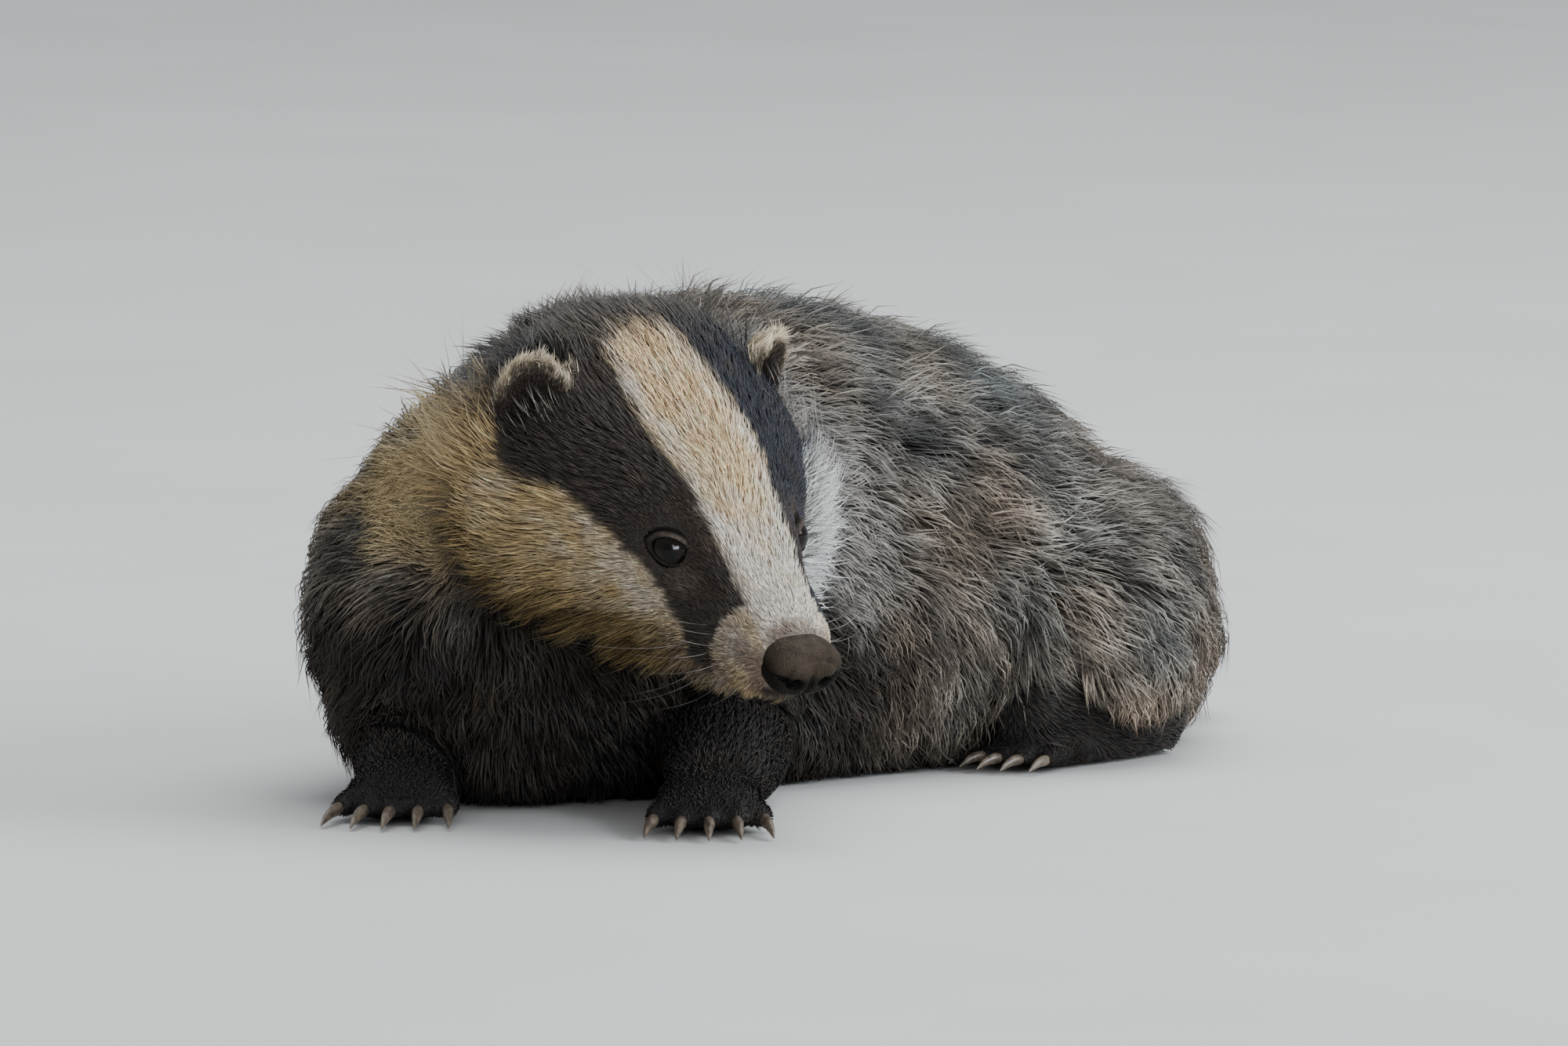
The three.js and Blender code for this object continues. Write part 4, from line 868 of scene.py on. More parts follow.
def noise(tree, scale, detail=3.0, stretch=(1, 1, 1)):
    """Noise on Object coordinates, in metres, so a scale of 1000 is about a millimetre."""
    place = tree.nodes.new("ShaderNodeTexCoord")
    mapping = tree.nodes.new("ShaderNodeMapping")
    mapping.inputs["Scale"].default_value = stretch
    texture = tree.nodes.new("ShaderNodeTexNoise")
    texture.inputs["Scale"].default_value = scale
    texture.inputs["Detail"].default_value = detail
    tree.links.new(place.outputs["Object"], mapping.inputs["Vector"])
    tree.links.new(mapping.outputs["Vector"], texture.inputs["Vector"])
    return texture.outputs["Fac"]


def ramp(tree, value, *stops):
    """A colour ramp through (place, colour) stops."""
    node = tree.nodes.new("ShaderNodeValToRGB")
    elements = node.color_ramp.elements
    while len(elements) < len(stops):
        elements.new(0.5)
    for element, (place, colour) in zip(elements, stops):
        element.position, element.color = place, (*colour, 1)
    tree.links.new(value, node.inputs["Fac"])
    return node.outputs["Color"]


def times(tree, a, b):
    """Two colours multiplied."""
    node = tree.nodes.new("ShaderNodeMix")
    node.data_type, node.blend_type = "RGBA", "MULTIPLY"
    node.inputs[0].default_value = 1.0
    tree.links.new(a, node.inputs[6])
    tree.links.new(b, node.inputs[7])
    return node.outputs[2]


def bump(tree, shader, height, strength, distance):
    """Relief on the shader from a height, its full depth in metres."""
    node = tree.nodes.new("ShaderNodeBump")
    node.inputs["Strength"].default_value = strength
    node.inputs["Distance"].default_value = distance
    tree.links.new(height, node.inputs["Height"])
    tree.links.new(node.outputs["Normal"], shader.inputs["Normal"])


def carried_colour(tree):
    """The colour that the mesh carries on its points."""
    node = tree.nodes.new("ShaderNodeAttribute")
    node.attribute_name = "coat"
    return node.outputs["Color"]


# %% [markdown]
# Hair scatters light at every angle, so its finish is rough with a weak gloss. Each kind has its own speck, the
# darkest and brightest factor from hair to hair.

# %% Finishes of the hair
def hair_finish(name, roughness, speck=(0.72, 1.2), grain=2600):
    """Hair: the carried colour, brighter and darker by fine noise, with a fibre bump."""
    material, tree, shader = finish(name, roughness, Specular_IOR_Level=0.2)
    fleck = ramp(tree, noise(tree, 900), (0.3, (speck[0],) * 3), (0.7, (speck[1],) * 3))
    tree.links.new(times(tree, carried_colour(tree), fleck), shader.inputs["Base Color"])
    bump(tree, shader, noise(tree, grain, 2.0), 0.25, 0.0003)
    return material


BODY_FUR = hair_finish("grizzled_fur", 0.7)
FACE_FUR = hair_finish("face_fur", 0.6, (0.85, 1.12))
LEG_FUR = hair_finish("leg_fur", 0.5, (0.7, 1.3))
EAR_FUR = hair_finish("ear_fur", 0.6, (0.8, 1.15))
HIDE = hair_finish("short_fur_and_hide", 0.75, (0.6, 1.25), 1500)
print("hair finishes", [m.name for m in (BODY_FUR, FACE_FUR, LEG_FUR, EAR_FUR, HIDE)])

# %% [markdown]
# The skin takes the place of every solid of flesh, so no seam shows between them. Eyes, nose pad and claws stay
# pieces of their own.

# %% Putting the skin in the frame
skin = mesh_piece("skin", skin_points, skin_faces, shaded_skin_colour)
skin.data.materials.append(HIDE)
SKINNED = ["head", "neck", "torso", "tail", "ear_right", "ear_left"]
SKINNED += [limb[k] for limb in LIMBS for k in ("leg", "paw")]
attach(skin, "root")
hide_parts(*SKINNED)
print("skin replaces", len(SKINNED), "solids")

# %% [markdown]
# ## Hair
# Real hair is far too fine to model one by one, and a particle system would be lost on export. So a tuft stands
# for a few hairs that cling together: a thin three-sided blade that leaves the skin at a slant, bends over and
# ends in a point. Roots are spread over the skin in proportion to its area, and each tuft's tip is laid over
# the skin that it reaches, so long hair follows the round of the body.

# %% Spreading roots over the skin
corner = [skin_points[skin_faces[:, k]] for k in range(4)]
face_area = np.linalg.norm(np.cross(corner[2] - corner[0], corner[3] - corner[1]), axis=1) / 2
skin_under = near_map(skin_points)


def spread(count, density):
    """Roots: quads picked evenly along the running sum of area times density, and a random spot inside each."""
    running = np.cumsum(face_area * density[skin_faces].mean(1))
    picked = np.searchsorted(running, (np.arange(count) + rng.random(count)) / count * running[-1])
    picked = skin_faces[np.minimum(picked, len(skin_faces) - 1)]
    a, b = rng.random((2, count))
    weights = np.stack([(1 - a) * (1 - b), a * (1 - b), a * b, (1 - a) * b], 1)
    return picked, weights


def read_at(roots, values):
    """A field of the skin at the roots, weighted between the corners of their quads."""
    picked, weights = roots
    return (values[picked] * weights[..., None]).sum(1)


def rooted(count, density):
    """Roots by density, with the place and the normal at each."""
    roots = spread(count, density)
    return roots, read_at(roots, skin_points), unit(read_at(roots, skin_normals))


def uneven(count, amount):
    """Brightness of each tuft, around 1."""
    return np.exp(rng.normal(size=(count, 1)) * amount)


print("skin area", round(float(face_area.sum()) / 100), "square centimetres")

# %% [markdown]
# A tuft is bent by three places: root, knee and tip. Hair clings together in locks, so tips are drawn some of the
# way to the tip of a leading tuft nearby.

# %% Shape of a tuft
def laid(points, normals, flow, length, lean, tip_height, droop=0.0):
    """Root, knee and tip of each tuft: it leaves the skin at the angle lean, and its tip lies at a height over
    the skin that it reaches, found from a coarse pick of the skin's points, less a droop by its length."""
    knee = points + (flow * np.cos(lean)[:, None] + normals * np.sin(lean)[:, None]) * (length * 0.5)[:, None]
    tip = points + flow * (length * 0.95)[:, None]
    under = skin_under(tip)
    over = skin_normals[under]
    lift = tip_height - ((tip - skin_points[under]) * over).sum(1)
    tip = tip + over * lift[:, None] - UP * (length * droop)[:, None]
    return points - normals * 0.5, knee, tip


def gathered(roots, tip, pull, every):
    """Tips drawn towards those of the nearest leading tuft, so that hair parts into locks."""
    leaders = rng.permutation(len(tip))[: max(len(tip) // every, 1)]
    lead = leaders[near_map(roots[leaders])(roots)]
    near = smoothstep(9, 4, np.linalg.norm(roots[lead] - roots, axis=1))
    return tip + (tip[lead] - tip) * (near * pull)[:, None]


TUFT_SIDES = 3
FLATNESS = 0.5
LOWEST = 0.6


def tuft_mesh(root, knee, tip, normals, width, colours, rings, taper):
    """Blades along a curve that starts towards the knee and ends coming from it: at t it is the sum of root, knee
    and tip times (1 - t) squared, 2 t (1 - t) and t squared. There is a ring of three points at each t in rings
    and one point at the end. Width falls off towards the end as one minus t to the power taper."""
    n = len(root)
    t = np.array(rings)[None, :, None]
    path = (1 - t) ** 2 * root[:, None] + 2 * t * (1 - t) * knee[:, None] + t ** 2 * tip[:, None]
    ahead = unit((1 - t) * (knee - root)[:, None] + t * (tip - knee)[:, None])
    side = unit(np.cross(ahead, normals[:, None]))
    over = np.cross(ahead, side)
    turn = np.array([90, 210, 330]) * np.pi / 180
    half = (width[:, None] * (1 - np.array(rings) ** taper) / 2)[..., None, None]
    ring = side[:, :, None] * np.cos(turn)[:, None] + over[:, :, None] * np.sin(turn)[:, None] * FLATNESS
    points = np.concatenate([(path[:, :, None] + ring * half).reshape(n, -1, 3), tip[:, None]], 1)
    k, r = np.meshgrid(np.arange(TUFT_SIDES), np.arange(len(rings) - 1))
    a, b = (r * TUFT_SIDES + k).ravel(), (r * TUFT_SIDES + (k + 1) % TUFT_SIDES).ravel()
    last = (len(rings) - 1) * TUFT_SIDES
    one = np.concatenate([
        np.stack([a, b, b + 3], 1), np.stack([a, b + 3, a + 3], 1), [[0, 2, 1]],
        [[last, last + 1, last + 3], [last + 1, last + 2, last + 3], [last + 2, last, last + 3]]])
    faces = (one[None] + np.arange(n)[:, None, None] * points.shape[1]).reshape(-1, 3)
    shades = np.concatenate([np.repeat(colours[:, :-1], TUFT_SIDES, axis=1), colours[:, -1:]], 1)
    points[..., 2] = np.maximum(points[..., 2], LOWEST)
    return points.reshape(-1, 3), faces, shades.reshape(-1, 3)


def tuft_triangles(rings):
    """Two triangles for each side between rings, one to close the root and one for each side of the tip."""
    return 2 * TUFT_SIDES * (len(rings) - 1) + 1 + TUFT_SIDES


print("triangles in a tuft of two rings", tuft_triangles((0, 1)))

# %% [markdown]
# For baking, each tuft needs a spot of its own colour in a flat map. The skin is unwrapped as one strip for each
# form, along it and round it, and a tuft is a small patch of the strip where its root stands.

# %% Where each root lies on the unwrapped skin
def unwrapped(place):
    """Each form's skin as one upright strip of the unit square, along the form and round it."""
    strip = np.clip(place[:, 2] + 2, 0, None)
    strips = len(PARTS) + 2
    across = (strip + 0.05 + 0.9 * (place[:, 1] / (2 * np.pi) % 1)) / strips
    return np.stack([across, 0.02 + 0.96 * np.clip((place[:, 0] + 1) / 3, 0, 1)], 1)


PATCH = 0.003  # share of the map's side
MOST_TRIANGLES = 190_000


def coat_pieces(name, material, roots, curves, normals, width, colours, rings=(0.0, 0.55), taper=2.2):
    """Tufts as pieces of fewer triangles than the limit, each tuft a small patch of the unwrapped skin."""
    pieces = math.ceil(len(width) * tuft_triangles(rings) / MOST_TRIANGLES)
    home = unwrapped(skin_place[roots[0][:, 0]])
    for number, part in enumerate(np.array_split(np.arange(len(width)), pieces), 1):
        mesh = tuft_mesh(*(c[part] for c in curves), normals[part], width[part], colours[part], rings, taper)
        corners = len(mesh[0]) // len(part)
        spot = np.random.default_rng(number).uniform(-0.5, 0.5, (1, corners, 2)) * PATCH
        uv = (home[part][:, None] + spot).reshape(-1, 2)
        piece = mesh_piece(f"{name}_{number}", mesh[0], mesh[1], mesh[2], uv)
        piece.data.materials.append(material)
        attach(piece, "root")
        print(piece.name, len(part), "tufts,", len(mesh[1]), "triangles")


# %% [markdown]
# ## The long coat
# Trunk, neck, tail and thighs carry guard hair of two to three centimetres. It lies back and down the flank,
# almost flat, and parts into small locks whose pale tips catch the light. A few guard hairs stand out along the
# back. The fan behind the right cheek is finer, denser and lies straight, and the nape is fluffed up. Tufts whose
# tips would end inside the head are left out.

# %% Long coat on trunk, neck, tail and thighs
LONG = 80_000
hidden = smoothstep(-0.4, -0.8, skin_normals[:, 2]) * smoothstep(40, 20, skin_points[:, 2])
density = (skin_kind[:, BODY] > 0.5) * (1 - 0.75 * hidden) * mix(1.15, 1.0, smoothstep(17, 34, skin_hair))
roots, at, normals = rooted(LONG, density * (1 + 0.9 * ruff_share(skin_points)[0]))
flow, length = unit(read_at(roots, skin_flow)), read_at(roots, skin_hair[:, None])[:, 0]
stray = rng.normal(size=(LONG, 3)) * 0.24
swirl = (cloud(at, 30, 31) * 0.2 + cloud(at, 9, 32) * 0.3)[:, None]
flow = in_plane(unit(flow + stray + unit(np.cross(normals, flow)) * swirl), normals)
length = length * rng.uniform(0.4, 0.78, LONG)
crown_point = place_head(surface(HEAD, share_at(HEAD, -114), np.pi / 2))
nape_share = smoothstep(90, 35, np.linalg.norm(at - crown_point, axis=1)) * smoothstep(95, 115, at[:, 2])
fan_share, left_share = ruff_share(at)
length = length * (1 - 0.3 * np.maximum(fan_share, left_share))
stand = (rng.random(LONG) < 0.14) * rng.uniform(0.12, 0.36, LONG) * (1 - 0.6 * nape_share)
up = smoothstep(0.3, 0.9, normals[:, 2])
lean = degrees(46 + 10 * up + 12 * nape_share + rng.normal(size=LONG) * 10)
tip_height = 0.22 + 0.1 * up + 0.34 * nape_share + rng.uniform(-0.1, 0.14, LONG) + cloud(at, 8, 33) * 0.08
tip_height = length * (tip_height * (1 - 0.3 * fan_share) + stand * (0.4 + 0.6 * up))
root_end, knee, tip_end = laid(at, normals, flow, length, lean, tip_height, 0.02)
curves = (root_end, knee, gathered(at, tip_end, 0.5 * (1 - 0.7 * fan_share), 9))
back, _, outness, _ = head_section(into_head(curves[2]))
free = np.flatnonzero((outness > 1.0) | (back < 5) | (back > 128))
dark = read_at(roots, skin_dark[:, None])[:, 0]
root, band, tip = hair_colours(at + flow * (length * 0.6)[:, None], dark, normals, np.zeros((LONG, 3)))
brightness = uneven(LONG, 0.14)
pale = np.clip(rng.random((LONG, 1)) + 0.4 * cloud(at, 10, 34)[:, None], 0, 1)
upper = mix(band, tip, 0.4 + 0.6 * pale) * brightness
# Each tuft's root is painted darker, as shade among the hair near the skin.
colours = np.stack([root * 0.65, mix(band, tip, 0.12 + 0.62 * pale), upper], 1)
width = rng.uniform(0.45, 0.82, LONG) * (1 - 0.38 * np.maximum(fan_share, 0.5 * left_share))
coat_pieces("coat_body", BODY_FUR, [r[free] for r in roots], [c[free] for c in curves],
            normals[free], width[free], colours[free], rings=(0.0, 0.68), taper=4.0)
print("long tufts", len(free), "mean length", round(float(length.mean()), 1), "mm")

# %% [markdown]
# ## The short coat
# On the face the hair is only a few millimetres long, and longer from the nose towards the cheeks. A soft fringe
# hangs from jaw and cheek over the neck, the crown is fluffed, and on the left cheek long fine hair stands out
# past the face's edge. None grows on the eyelids and the nose pad.

# %% Face
FRINGE = [(15, 2.0), (21, 3.5), (38, 5.0), (60, 6.5), (80, 9), (95, 12), (106, 15.0), (116, 18.0)]
FACE_LONG = [(8, 2.0), (15, 2.8), (30, 4.4), (50, 6.5), (70, 9.0), (90, 12.0), (110, 16.0), (130, 22.0)]
SHORT = 40_000
back_on_skin, angle_on_skin = head_section(into_head(skin_points))[:2]
cheek_share = smoothstep(30, 5, angle_on_skin) * smoothstep(60, 100, back_on_skin)
crown_share = smoothstep(20, 45, angle_on_skin) * smoothstep(92, 114, back_on_skin)
eye_gap = nearest_gap(skin_points, [place_head(EYES[side][0]) for side in EYES])
face_hair = np.interp(back_on_skin, *zip(*FACE_LONG)) * (1 + 0.6 * cheek_share)
face_hair = np.minimum(face_hair, np.interp(eye_gap, [7, 13, 24], [1.3, 4.0, 30.0]))
pad_gap = np.linalg.norm(into_head(skin_points) - np.array([0, -6, -1.5]), axis=1)
bald = smoothstep(8.5, 7.2, eye_gap) + smoothstep(12.4, 11.0, pad_gap) * (back_on_skin < 11)
density = (skin_kind[:, FACE] > 0.4) * np.clip(1 - bald, 0, 1) / face_hair ** 0.75
roots, at, normals = rooted(SHORT, density)
flow, length = unit(read_at(roots, skin_flow)), read_at(roots, face_hair[:, None])[:, 0]
swirl = unit(np.cross(normals, flow)) * (cloud(at, 16, 41) * 0.12)[:, None]
flow = in_plane(unit(flow + rng.normal(size=(SHORT, 3)) * 0.12 + swirl), normals)
length = length * rng.uniform(0.75, 1.15, SHORT)
back, angle = head_section(into_head(at))[:2]
far_side = smoothstep(-8, -18, into_head(at)[:, 0]) * smoothstep(18, 48, back)
far_side *= smoothstep(5, -1, angle - np.interp(back, CHEEK_Y, CHEEK_ANGLE))
length = length + 17.0 * far_side * smoothstep(2.5, 6, length) * rng.random(SHORT) ** 1.2
edge = np.maximum(smoothstep(-8, -36, angle), smoothstep(94, 110, back) * smoothstep(48, 15, angle))
fringe = edge * (1 - far_side) * np.interp(back, *zip(*FRINGE)) * rng.uniform(0.15, 1.0, SHORT)
fringe = np.maximum(fringe * (1 + 0.8 * cloud(at, 8, 43)), 0)
length = np.maximum(length, fringe * 1.7)
fluff = (read_at(roots, np.stack([cheek_share, crown_share], 1)) * np.array([0.08, 0.36])).sum(1)
fluff = fluff + far_side * rng.uniform(0.05, 0.75, SHORT)
lean = degrees(27 + 90 * fluff + 45 * fringe / length + rng.normal(size=SHORT) * 6)
tip_height = 0.3 + length * (rng.uniform(0.08, 0.22, SHORT) + fluff) + fringe * 0.85
root_end, knee, tip_end = laid(at, normals, flow, length, lean, tip_height)
curves = (root_end, knee, gathered(at, tip_end, 0.3, 7))
dark = read_at(roots, skin_dark[:, None])[:, 0]
root, band, tip = hair_colours(at + flow * (length * 0.6)[:, None], dark, normals, np.zeros((SHORT, 3)))
brightness = uneven(SHORT, 0.27)
# Painted sheen: some black tips are greyer, partly grey hairs of their own and partly the gleam of light on black
# hair.
painted_sheen = rng.random((SHORT, 1)) ** 2.5 * np.array([0.075, 0.068, 0.066]) * (tip.mean(1, keepdims=True) < 0.1)
# The roots are painted darker, as shade near the skin.
colours = np.stack([root * 0.45, mix(root, band, 0.5) * brightness, tip * brightness + painted_sheen], 1)
width = rng.uniform(0.3, 0.46, SHORT) * np.interp(length, [2, 12], [0.85, 1.3])
width = width * (1 - 0.3 * far_side * smoothstep(8, 16, length))
coat_pieces("coat_face", FACE_FUR, roots, curves, normals, width, np.clip(colours, 0, 0.9))

# %% [markdown]
# Legs and paws have short, close black hair that lies flat, densest on the paws. None grows on the soles.

# %% Legs and paws
SPARE = 14_000
density = (skin_kind[:, LEG] > 0.4) * 1.0 + (skin_kind[:, PAW] > 0.4) * 1.6
roots, at, normals = rooted(SPARE, density * (skin_points[:, 2] > 2.0))
flow, length = unit(read_at(roots, skin_flow)), read_at(roots, skin_hair[:, None])[:, 0]
flow = in_plane(unit(flow + rng.normal(size=(SPARE, 3)) * 0.14), normals)
length = length * rng.uniform(0.7, 1.1, SPARE)
curves = laid(at, normals, flow, length, degrees(np.full(SPARE, 22.0)), 0.2 + length * 0.12)
root, band, tip = hair_colours(at, np.ones(SPARE), normals, np.zeros((SPARE, 3)))
brightness = uneven(SPARE, 0.25)
colours = np.stack([root, band * brightness, tip * brightness], 1)
coat_pieces("coat_legs", LEG_FUR, roots, curves, normals, rng.uniform(0.4, 0.65, SPARE), colours)

# %% [markdown]
# The ears are furred all over in short straight hair, longest along the cream rim. From the front edge of each
# opening a few straw-coloured strands hang forward and down over the dark cup.

# %% Ears
TUFTED = 6_000
STRAND_WAY = unit(np.array([0.5, -0.45, -0.75]))
roots, at, normals = rooted(TUFTED, (ear_share > 0.35) * 1.0)
flow = unit(read_at(roots, skin_flow) + rng.normal(size=(TUFTED, 3)) * 0.12)
facts = read_at(roots, ear_facts)
ear_s, ear_turn = facts[:, 0], facts[:, 1]
length = 5.0 * rng.uniform(0.7, 1.2, TUFTED) + 4 * bell(ear_s - 0.46, 0.14) * rng.random(TUFTED) ** 2
in_cup = smoothstep(0.6, 0.75, ear_s) > 0.5
straw = ((rng.random(TUFTED) < np.where(np.sin(ear_turn) < 0.0, 0.5, 0.04)) & in_cup)[:, None]
mirror = np.where(into_head(at)[:, :1] < 0, np.array([-1, 1, 1]), 1)
hanging = ((HEAD_TURN.T @ STRAND_WAY) * mirror) @ HEAD_TURN.T
flow = np.where(straw, unit(hanging + rng.normal(size=(TUFTED, 3)) * 0.12), flow)
length = length * np.where(straw[:, 0], 1.9, 1.0)
curves = (at - normals * 0.5, at + (flow * 0.8 + normals * 0.4) * (length * 0.5)[:, None],
          at + (flow * 0.97 + normals * 0.22) * length[:, None])
facts[:, 2] = 1.0
root, band, tip = hair_colours(at, np.zeros(TUFTED), normals, facts)
brightness = uneven(TUFTED, 0.2)
band, tip = (np.where(straw, STRAW * share, colour) for share, colour in ((0.6, band), (1.0, tip)))
# The roots are painted darker, as shade near the skin.
colours = np.stack([root * 0.6, band * brightness, tip * brightness], 1)
coat_pieces("coat_ears", EAR_FUR, roots, curves, normals, rng.uniform(0.28, 0.44, TUFTED), colours)

# %% [markdown]
# ## Eyes
# A badger's eye is small, round and almost black, with a brown iris that shows only in bright light. The ball
# is a true sphere with a slightly raised cornea. The lids are one swept ring: its inner edge rests on the ball,
# its crest is the lid's fold, and its skirt runs down under the face's skin.

# %% Eyeballs and lids
LID = dict(wide=5.6, high=3.6, slant=12)
CORNEA = 0.35
LID_FACTORS = [0.96, 1.0, 1.07, 1.17, 1.3, 1.45, 1.75, 2.2]
# Tones row by row from the ball outward: a dark inner edge, a pale crest, a dark row of painted shade in the fold,
# then skin.
LID_TONES_AND_SHADE = [(0.006, 0.005, 0.004), (0.010, 0.008, 0.006), (0.075, 0.058, 0.048), (0.105, 0.082, 0.068),
             (0.085, 0.066, 0.055), (0.006, 0.005, 0.004), (0.040, 0.030, 0.023), (0.030, 0.023, 0.018)]


def ball_points(side, rows=64, columns=64):
    """Sphere round the eye's centre, its pole looking out of the head, with the cornea raised as a soft bell."""
    centre, out, ahead, above = EYES[side]
    polar, turn = np.linspace(0, np.pi, rows)[:, None], np.linspace(0, 2 * np.pi, columns, endpoint=False)[None]
    radius = EYE["radius"] + CORNEA * bell(polar, 0.55)
    local = np.stack([np.sin(polar) * np.cos(turn), np.sin(polar) * np.sin(turn), np.cos(polar) + 0 * turn], -1)
    axes = np.stack([ahead, above, out]) if side > 0 else np.stack([above, ahead, out])
    return place_head(centre + (radius[..., None] * local) @ axes).reshape(-1, 3), grid_faces(rows, columns)


def lid_points(side, rows=22, columns=96):
    """Ring over the ball: an almond of wide by high, carried outward by the lid's factors. Its depth goes from
    just above the ball to a rounded crest, higher on the upper lid, and then under the skin, which falls away as
    distance squared. A fold runs over the upper lid."""
    centre, out, ahead, above = EYES[side]
    turn = np.linspace(0, 2 * np.pi, columns, endpoint=False)
    slant = degrees(LID["slant"])
    wide, high = np.cos(turn), power(np.sin(turn), 1.2)
    rim = np.stack([LID["wide"] * wide, LID["high"] * high * np.where(turn < np.pi, 1.0, 0.9)], 1)
    share = np.linspace(0, 1, rows)
    factors = spline(np.array(LID_FACTORS)[:, None], share)[:, 0]
    flat = factors[:, None, None] * rim[None]
    apart = np.linalg.norm(flat, axis=-1)
    on_ball = np.sqrt(np.maximum((EYE["radius"] + 0.12) ** 2 - apart ** 2, 1.0))
    on_skin = 3.9 - apart ** 2 / 75
    upper = np.clip(np.sin(turn), 0, 1)[None]
    crest = np.maximum(on_ball, on_skin) + 0.35 + 0.4 * upper
    rise = smoothstep(0.96, 1.13, factors)[:, None]
    fall = smoothstep(1.25, 2.1, factors)[:, None]
    fold = 0.5 * bell(factors[:, None] - 1.45, 0.08) * upper
    depth = np.maximum(mix(mix(on_ball, crest, rise), on_skin - 1.8, fall) - fold, on_ball)
    x = flat[..., 0] * np.cos(slant) - flat[..., 1] * np.sin(slant)
    z = flat[..., 0] * np.sin(slant) + flat[..., 1] * np.cos(slant)
    points = centre + ahead * x[..., None] + above * z[..., None] + out * depth[..., None]
    faces = grid_faces(rows, columns)
    # The upper lid is painted lighter than the lower, as light falls on it from above.
    tones_and_shade = spline(np.array(LID_TONES_AND_SHADE), share)[:, None] * (0.26 + 0.46 * upper[..., None])
    return place_head(points).reshape(-1, 3), faces[:, ::-1] if side < 0 else faces, tones_and_shade.reshape(-1, 3)


print("lids open", 2 * LID["wide"], "mm wide and", round(1.9 * LID["high"], 1), "mm high")

# %% [markdown]
# Seen close, the eye is a black pupil in a brown iris that darkens to its rim, all under clear tears. The lids are
# bare skin, pale along the crest, with painted shade in the fold above it, and the upper lid is painted lighter
# than the lower, as light falls on it from above.

# %% Finishes and pieces of the eyes
def eye_finish(side, name):
    """Pupil, iris and dark rim by distance from the cornea's middle in centimetres, under a wet gloss."""
    material, tree, shader = finish(f"wet_eye_{name}", 0.15, Specular_IOR_Level=0.06, Coat_Weight=0.2,
                                    Coat_Roughness=0.03)
    place = tree.nodes.new("ShaderNodeTexCoord")
    distance = tree.nodes.new("ShaderNodeVectorMath")
    distance.operation = "DISTANCE"
    centre, out = EYES[side][:2]
    distance.inputs[1].default_value = tuple(place_head(centre + out * (EYE["radius"] + 0.3)) * MM)
    tree.links.new(place.outputs["Object"], distance.inputs[0])
    scaled = tree.nodes.new("ShaderNodeMath")
    scaled.operation = "MULTIPLY"
    scaled.inputs[1].default_value = 100.0
    tree.links.new(distance.outputs["Value"], scaled.inputs[0])
    iris = ramp(tree, scaled.outputs[0], (0.0, (0.002,) * 3), (0.2, (0.003,) * 3), (0.25, (0.009, 0.005, 0.0035)),
                (0.4, (0.007, 0.0045, 0.003)), (0.46, (0.006, 0.004, 0.003)))
    fibre = ramp(tree, noise(tree, 1800), (0.3, (0.7,) * 3), (0.7, (1.3,) * 3))
    tree.links.new(times(tree, iris, fibre), shader.inputs["Base Color"])
    return material


LID_SKIN, tree, shader = finish("lid_skin", 0.8, Specular_IOR_Level=0.04)
mottle = ramp(tree, noise(tree, 900), (0.3, (0.65,) * 3), (0.75, (1.25,) * 3))
tree.links.new(times(tree, carried_colour(tree), mottle), shader.inputs["Base Color"])
bump(tree, shader, noise(tree, 1600, 5.0), 0.4, 0.0004)
for name, side in SIDES.items():
    ball = mesh_piece(f"eyeball_{name}", *ball_points(side))
    ball.data.materials.append(eye_finish(side, name))
    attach(ball, "root")
    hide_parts(f"eye_{name}")
    lids = mesh_piece(f"lids_{name}", *lid_points(side))
    lids.data.materials.append(LID_SKIN)
    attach(lids, "root")
print("eyes at", [place_head(EYES[side][0]).round(1).tolist() for side in EYES])

# %% [markdown]
# ## Nose
# The nose pad is a broad, bare, pebbled cushion. The nostrils open forward and turn outward in a slit, and a
# groove runs down the middle to the lip. The pad repeats the form of its solid, and each opening is pushed into
# it as a soft pit whose depth falls off with distance.

# %% Nose pad
def nose_points(rows=150, columns=120):
    """The nose's form, with two pits and a middle groove pushed back from the front, and colours painted darker
    underneath and in the pits as shade.
    """
    u = np.linspace(-1, 2, rows)[:, None]
    angle = np.linspace(0, 2 * np.pi, columns, endpoint=False)[None]
    points = surface(NOSE, u, angle, 0.15).reshape(-1, 3)
    x, y, z = points.T
    front = smoothstep(-9, -3, y)
    across = np.abs(x)
    pit = np.exp(-((np.hypot(across - 5.0, (z + 3.2) * 1.25) / 2.0) ** 4))
    slit = np.exp(-((np.hypot((across - 8.0) / 3.2, (z + 2.2 - (across - 7) * 0.3) / 0.8)) ** 4))
    groove = bell(x, 0.8) * smoothstep(2.5, -2.5, z)
    wing = bell(np.hypot(across - 6.5, z - 2.6), 3.4)
    push = -3.8 * pit - 1.6 * slit - 0.9 * groove + 0.7 * wing
    moved = points + FORWARD * (push * front)[:, None] - np.array([0.5, 0, 0]) * (np.sign(x) * slit)[:, None]
    # Painted shade: darker towards the underside, which the light from above misses, and in the nostrils' pits and
    # slits.
    painted_shade = smoothstep(3.2, -2.2, z + 0.3 * (y + 4)) * 0.92 + 0.7 * np.clip(pit + slit, 0, 1)
    return place_head(moved), grid_faces(rows, columns), between(PAD_LIT_TOP, PAD_SHADE, np.clip(painted_shade, 0, 1))


